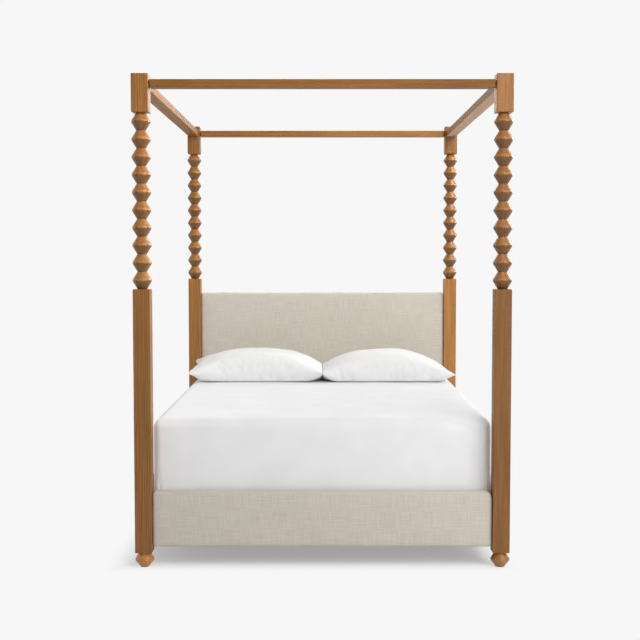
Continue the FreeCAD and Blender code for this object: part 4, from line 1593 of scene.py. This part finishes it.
@dataclass
class Pillow:
    """A filled pillow in a plain case, swollen from two flat pieces that are sewn together."""

    side: str
    seed: int
    crest: tuple[Size, ...]
    case: Size = (0.83, 0.60)
    cells: tuple[int, int] = (84, 60)
    gap: float = 0.008
    pressure: float = 2.0
    frames: int = 19
    unevenness: float = 0.002
    slackness: float = 0.004
    case_waves: tuple[float, ...] = (0.16, 0.23, 0.35)
    press: float = 0.85
    press_band: Size = (0.43, 0.10)
    slices: int = 40
    overlap: float = 0.012
    touch: float = 0.0015
    least_crest: float = 0.10
    seam_level: float = 0.062
    seam_tilt: float = 0.012
    ear_drop: float = 0.0
    ear_reach: float = 0.0
    inner_drop: float = 0.006
    inner_lift: float = 0.69
    lift_reach: float = 0.085
    wall: float = 1.5
    wall_bend: float = 6.0
    crease: float = 0.0030
    crease_reach: Size = (0.06, 0.05)
    crease_waves: tuple[float, ...] = (0.034, 0.052, 0.085)

    @property
    def inner(self) -> float:
        """Give the sign of X towards the other pillow."""
        return 1.0 if self.side == "left" else -1.0

    def build(self, cloth: bpy.types.Material) -> None:
        """Model the pillow.

        Args:
            cloth: its finish.
        """
        node = "pillow_" + self.side
        low, high = corners(node)
        middle = (low + high) / 2
        seam = low.z + self.seam_level
        pillow = Piece.from_grid(node + "_case", (middle.x, middle.y, seam), self.case, self.cells)
        pillow.pick_all()
        bpy.ops.mesh.extrude_region_move(TRANSFORM_OT_translate={"value": (0.0, 0.0, self.gap)})
        pillow.leave()
        pillow.face_out()
        self.ease_cloth(pillow)
        self.swell(pillow)
        pillow.put_points(self.settle(pillow.points(), low, high))
        pillow.refine()
        pillow.smooth(180.0)
        pillow.wear(cloth, "pillow_cotton", node, (node,))

    def ease_cloth(self, pillow: Piece) -> None:
        """Disturb the flat case a little, so that its creases fall unevenly.

        Args:
            pillow: the flat case.
        """
        points = pillow.points()
        picked = np.random.default_rng(self.seed)
        upper = points[:, 2] > points[:, 2].mean()
        points[:, 2] += np.where(upper, 1.0, -1.0) * picked.uniform(0.0, self.unevenness, len(points))
        points[:, 2] += self.slackness * slow_waves(points[:, 0], points[:, 1], self.seed, self.case_waves)
        pillow.put_points(points)

    def swell(self, pillow: Piece) -> None:
        """Fill the case.

        Args:
            pillow: the flat case.
        """
        pillow.hold()
        cloth = pillow.shown.modifiers.new("Filling", "CLOTH")
        settings = cloth.settings
        for name, setting in FILLING.items():
            setattr(settings, name, setting)
        settings.use_pressure = True
        settings.uniform_pressure_force = self.pressure
        settings.effector_weights.gravity = 0.0
        cloth.collision_settings.use_collision = False
        cloth.point_cache.frame_start = 1
        cloth.point_cache.frame_end = self.frames
        for step in range(1, self.frames + 1):
            bpy.context.scene.frame_set(step)
        bpy.ops.object.modifier_apply(modifier=cloth.name)
        bpy.context.scene.frame_set(1)

    def square_up(self, points: np.ndarray) -> np.ndarray:
        """Straighten the end that presses against the other pillow.

        Args:
            points: the filled case's points.

        Returns:
            The points' new places.
        """
        x = points[:, 0] * self.inner
        y = points[:, 1]
        middle = (x.min() + x.max()) / 2
        bins = np.linspace(y.min(), y.max(), self.slices)
        found = np.digitize(y, bins)
        slices = [x[found == index] for index in range(1, self.slices + 1)]
        end = np.interp(y, bins, [part.max() if len(part) else x.max() for part in slices])
        share = np.clip((x - middle) / (end - middle), 0.0, 1.0)
        from_middle = np.abs(y - y.mean()) / (y.max() - y.min())
        between_ears = np.clip((self.press_band[0] - from_middle) / self.press_band[1], 0.0, 1.0)
        moved = points.copy()
        moved[:, 0] = self.inner * (x + self.press * between_ears * (x.max() - end) * share**3)
        return moved

    def crest_at(self, along: np.ndarray) -> np.ndarray:
        """Give how high the pillow's crest is.

        Args:
            along: how far points are from the inner end to the outer end, from 0 to 1.

        Returns:
            The crest's share of the pillow's height at each point.
        """
        steps = np.linspace(-CREST_BEYOND, 1.0 + CREST_BEYOND, CREST_STEPS)
        places, heights = zip(*self.crest)
        window = np.hanning(CREST_WINDOW)
        eased = np.convolve(np.interp(steps, places, heights), window / window.sum(), mode="same")
        return np.interp(along, steps, eased)

    def fullest(self, along: np.ndarray, rise: np.ndarray) -> np.ndarray:
        """Find how high the filled case is all along it.

        Args:
            along: how far points are from the inner end to the outer end, from 0 to 1.
            rise: how high they are, from -1 to 1.

        Returns:
            The highest rise beside each point.
        """
        bins = np.linspace(0.0, 1.0, self.slices + 1)
        found = np.clip(np.digitize(along, bins) - 1, 0, self.slices - 1)
        tops = np.array([rise[found == index].max() for index in range(self.slices)])
        even = np.full(TOP_WINDOW, 1.0 / TOP_WINDOW)
        edge = TOP_WINDOW // 2
        tops[edge:-edge] = np.convolve(tops, even, mode="valid")
        return np.maximum(np.interp(along, (bins[1:] + bins[:-1]) / 2, tops), self.least_crest)

    def settle(self, points: np.ndarray, low: Vector, high: Vector) -> np.ndarray:
        """Fit the filled case to its place, and flatten it where it lies on the bed.

        Args:
            points: the filled case's points.
            low: the lowest corner of its place.
            high: the highest corner.

        Returns:
            The points' new places.
        """
        points = self.square_up(points)
        share = (points - points.min(axis=0)) / np.ptp(points, axis=0)
        outward = 1.0 - share[:, 0] if self.inner > 0.0 else share[:, 0]
        back = share[:, 1]
        rise = 2.0 * share[:, 2] - 1.0
        length = high.x - low.x
        inner_end = high.x if self.inner > 0.0 else low.x
        ear = np.clip(outward, 0.0, 1.0) ** 5
        placed = points.copy()
        placed[:, 0] = inner_end - self.inner * (outward * (length + self.overlap) - self.overlap)
        placed[:, 0] = np.clip(placed[:, 0], low.x - self.touch, high.x + self.touch)
        placed[:, 0] -= self.inner * self.ear_reach * ear * np.clip(back * 2.0 - 1.0, 0.0, 1.0) ** 2
        placed[:, 1] = low.y + back * (high.y - low.y)
        tilt = self.seam_tilt * (2.0 * back - 1.0) * outward
        seam = low.z + self.seam_level + tilt - self.ear_drop * ear - self.inner_drop * (1.0 - outward) ** 4
        fill = np.minimum(np.maximum(rise, 0.0) / self.fullest(outward, rise), 1.0)
        upper = (high.z - seam) * fill * self.crest_at(outward)
        from_inner = outward * length
        from_outer = (1.0 - outward) * length
        ends = np.exp(-from_inner / self.crease_reach[0]) + np.exp(-from_outer / self.crease_reach[1])
        ripple = slow_waves(placed[:, 1], placed[:, 0] * 0.2, self.seed, self.crease_waves)
        upper += self.crease * ripple * ends * np.clip(rise * 3.0, 0.0, 1.0)
        steep = self.wall * np.maximum(-rise, 0.0) ** 0.6
        rest = steep / (1.0 + steep**self.wall_bend) ** (1.0 / self.wall_bend)
        front = np.clip(1.6 - back * 6.0, 0.0, 1.0)
        near_inner = np.clip(1.0 - from_inner / self.lift_reach, 0.0, 1.0) ** 1.5
        near_outer = np.clip(1.0 - from_outer / self.lift_reach, 0.0, 1.0) ** 1.5
        under = (low.z - seam) * rest * (1.0 - near_outer)
        under *= 1.0 - self.inner_lift * front * near_inner
        placed[:, 2] = np.clip(seam + np.where(rise >= 0.0, upper, under), low.z, high.z)
        return placed


@dataclass
class Bedding:
    """The mattress, its sheet and the two pillows."""

    pillows: list[Pillow] = field(
        default_factory=lambda: [
            Pillow("left", 5, LEFT_CREST, ear_reach=0.015),
            Pillow("right", 9, RIGHT_CREST, seam_tilt=-0.004, ear_drop=0.022, ear_reach=-0.022),
        ]
    )

    def build(self) -> None:
        """Model the bedding."""
        Mattress().build(QUILTED_TICKING.material())
        FittedSheet().build(SHEET_COTTON.material())
        cotton = PILLOW_COTTON.material()
        for pillow in self.pillows:
            pillow.build(cotton)


@dataclass(frozen=True)
class Lamp:
    """A soft box."""

    name: str
    place: Point
    aim: Point
    size: Size
    power: float
    spread: float = 180.0

    def build(self) -> None:
        """Add the lamp, turned to what it lights."""
        light = bpy.data.lights.new(self.name, "AREA")
        light.shape = "RECTANGLE"
        light.size, light.size_y = self.size
        light.energy = self.power
        light.spread = math.radians(self.spread)
        lamp = bpy.data.objects.new(self.name, light)
        lamp.location = self.place
        heading = Vector(self.aim) - Vector(self.place)
        lamp.rotation_euler = heading.to_track_quat("-Z", "Y").to_euler()
        lamp.visible_camera = False
        bpy.context.collection.objects.link(lamp)


@dataclass
class Studio:
    """The pale floor, the soft light and the camera."""

    paper: float = 0.93
    ambient: float = 0.25
    floor_half: float = 9.0
    near_share: float = 0.35
    near_reach: Size = (-0.14, 0.07)
    behind_bed: Size = (0.2, 0.6)
    floor_drop: float = 0.0006
    drift: float = 0.04
    eye: Point = (0.0, -6.1355, 1.4062)
    tilt: float = 3.33
    lens: float = 64.29
    sensor: float = 36.0
    shift: float = -0.0037
    lamps: tuple[Lamp, ...] = (
        Lamp("right front box", (2.9, -4.4, 2.9), (0.0, 0.0, 1.0), (3.6, 3.0), 148.0),
        Lamp("right rear box", (3.6, 1.8, 2.2), (0.0, 0.0, 1.0), (2.0, 2.0), 42.0),
        Lamp("right top box", (2.6, 0.3, 3.6), (0.0, 0.1, 0.8), (2.0, 2.5), 33.0),
        Lamp("right post key", (3.6, 1.8, 2.8), (-0.3, -0.6, 1.95), (1.2, 1.2), 10.0, 42.0),
        Lamp("left box", (-4.0, -0.2, 1.9), (0.0, 0.0, 0.9), (2.5, 2.5), 36.0),
        Lamp("front top box", (0.8, -2.8, 3.7), (0.2, -1.0, 1.8), (2.2, 1.2), 22.0),
        Lamp("rear box", (0.0, 3.6, 3.2), (0.0, 0.0, 1.1), (3.0, 1.5), 36.0),
        Lamp("left post key", (1.2, -2.4, 3.3), (-0.8, -1.05, 1.7), (0.8, 0.8), 2.4, 45.0),
        Lamp("rear post key", (1.6, 0.2, 3.4), (-0.2, 1.05, 1.6), (1.2, 0.8), 6.4, 60.0),
    )

    def build(self) -> None:
        """Set the stage."""
        for lamp in self.lamps:
            lamp.build()
        self.build_floor()
        self.build_world()
        self.build_camera()
        bpy.context.scene.view_settings.view_transform = "Standard"
        LOG.info("studio: floor, %d lamps and camera", len(self.lamps))

    def looking(self, board: Board) -> tuple[Value, Value]:
        """Tell the rays that look at the paper from those that only light the bed.

        Args:
            board: the nodes that it is for.

        Returns:
            A value that is 1 for a ray from the camera, and one for a ray off or through something.
        """
        path = board.node("ShaderNodeLightPath", {}, {})
        names = ("Is Camera Ray", "Is Glossy Ray", "Is Transmission Ray")
        camera, glossy, clear = (Value(board, path.outputs[name]) for name in names)
        return camera, glossy.most(clear)

    def build_floor(self) -> None:
        """Lay a pale floor that keeps the bed's shadow and runs out into the paper's white."""
        _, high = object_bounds()
        wide = 2 * self.floor_half
        floor = Piece.from_grid("floor", (0.0, 0.0, -self.floor_drop), (wide, wide), (8, 8))
        board = Board("floor paper")
        x, y, _ = board.split(board.place())
        outside = (abs(x + self.drift) - high[0] - self.drift).most(abs(y) - high[1])
        mottle = board.noise(board.place(), 2.0, 2.0)
        pale = board.shade(grey(0.90), 0.99 + mottle * 0.02)
        board.surface({"Base Color": pale, "Roughness": 0.9, "Specular IOR Level": 0.1})
        glow = board.node("ShaderNodeEmission", {}, {0: grey(self.paper), 1: 1.0})
        far = self.near_share + outside.ease(*self.near_reach) * (1.0 - self.near_share)
        camera, shine = self.looking(board)
        mixed = board.node("ShaderNodeMixShader", {}, {0: far * camera.most(shine)})
        board.tree.links.new(board.shader.outputs[0], mixed.inputs[1])
        board.tree.links.new(glow.outputs[0], mixed.inputs[2])
        board.tree.links.new(mixed.outputs[0], board.output.inputs["Surface"])
        floor.mesh.materials.append(board.material)
        floor.shown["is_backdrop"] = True

    def build_world(self) -> None:
        """Light the room evenly, with white paper behind the bed for the camera and for what shines."""
        board = Sky("studio")
        camera, shine = self.looking(board)
        heading = board.value("ShaderNodeTexCoord", {}, {}, "Generated")
        behind = board.split(heading)[1].ease(*self.behind_bed)
        seen = board.mix(camera.most(shine * behind), grey(self.ambient), grey(self.paper))
        board.feed(board.background.inputs["Color"], seen)

    def build_camera(self) -> None:
        """Put the camera where the photograph was taken from."""
        lens = bpy.data.cameras.new("camera")
        lens.lens = self.lens
        lens.sensor_width = self.sensor
        lens.shift_x = self.shift
        camera = bpy.data.objects.new("camera", lens)
        camera.location = self.eye
        camera.rotation_euler = (math.radians(90.0 - self.tilt), 0.0, 0.0)
        bpy.context.collection.objects.link(camera)
        bpy.context.scene.camera = camera


def main() -> None:
    """Build the bed's looks in order."""
    logging.basicConfig(level=logging.INFO, format="%(name)s %(message)s")
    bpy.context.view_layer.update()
    for part in (Studio(), Frame(), Upholstery(), Bedding()):
        part.build()


if __name__ == "__main__":
    main()
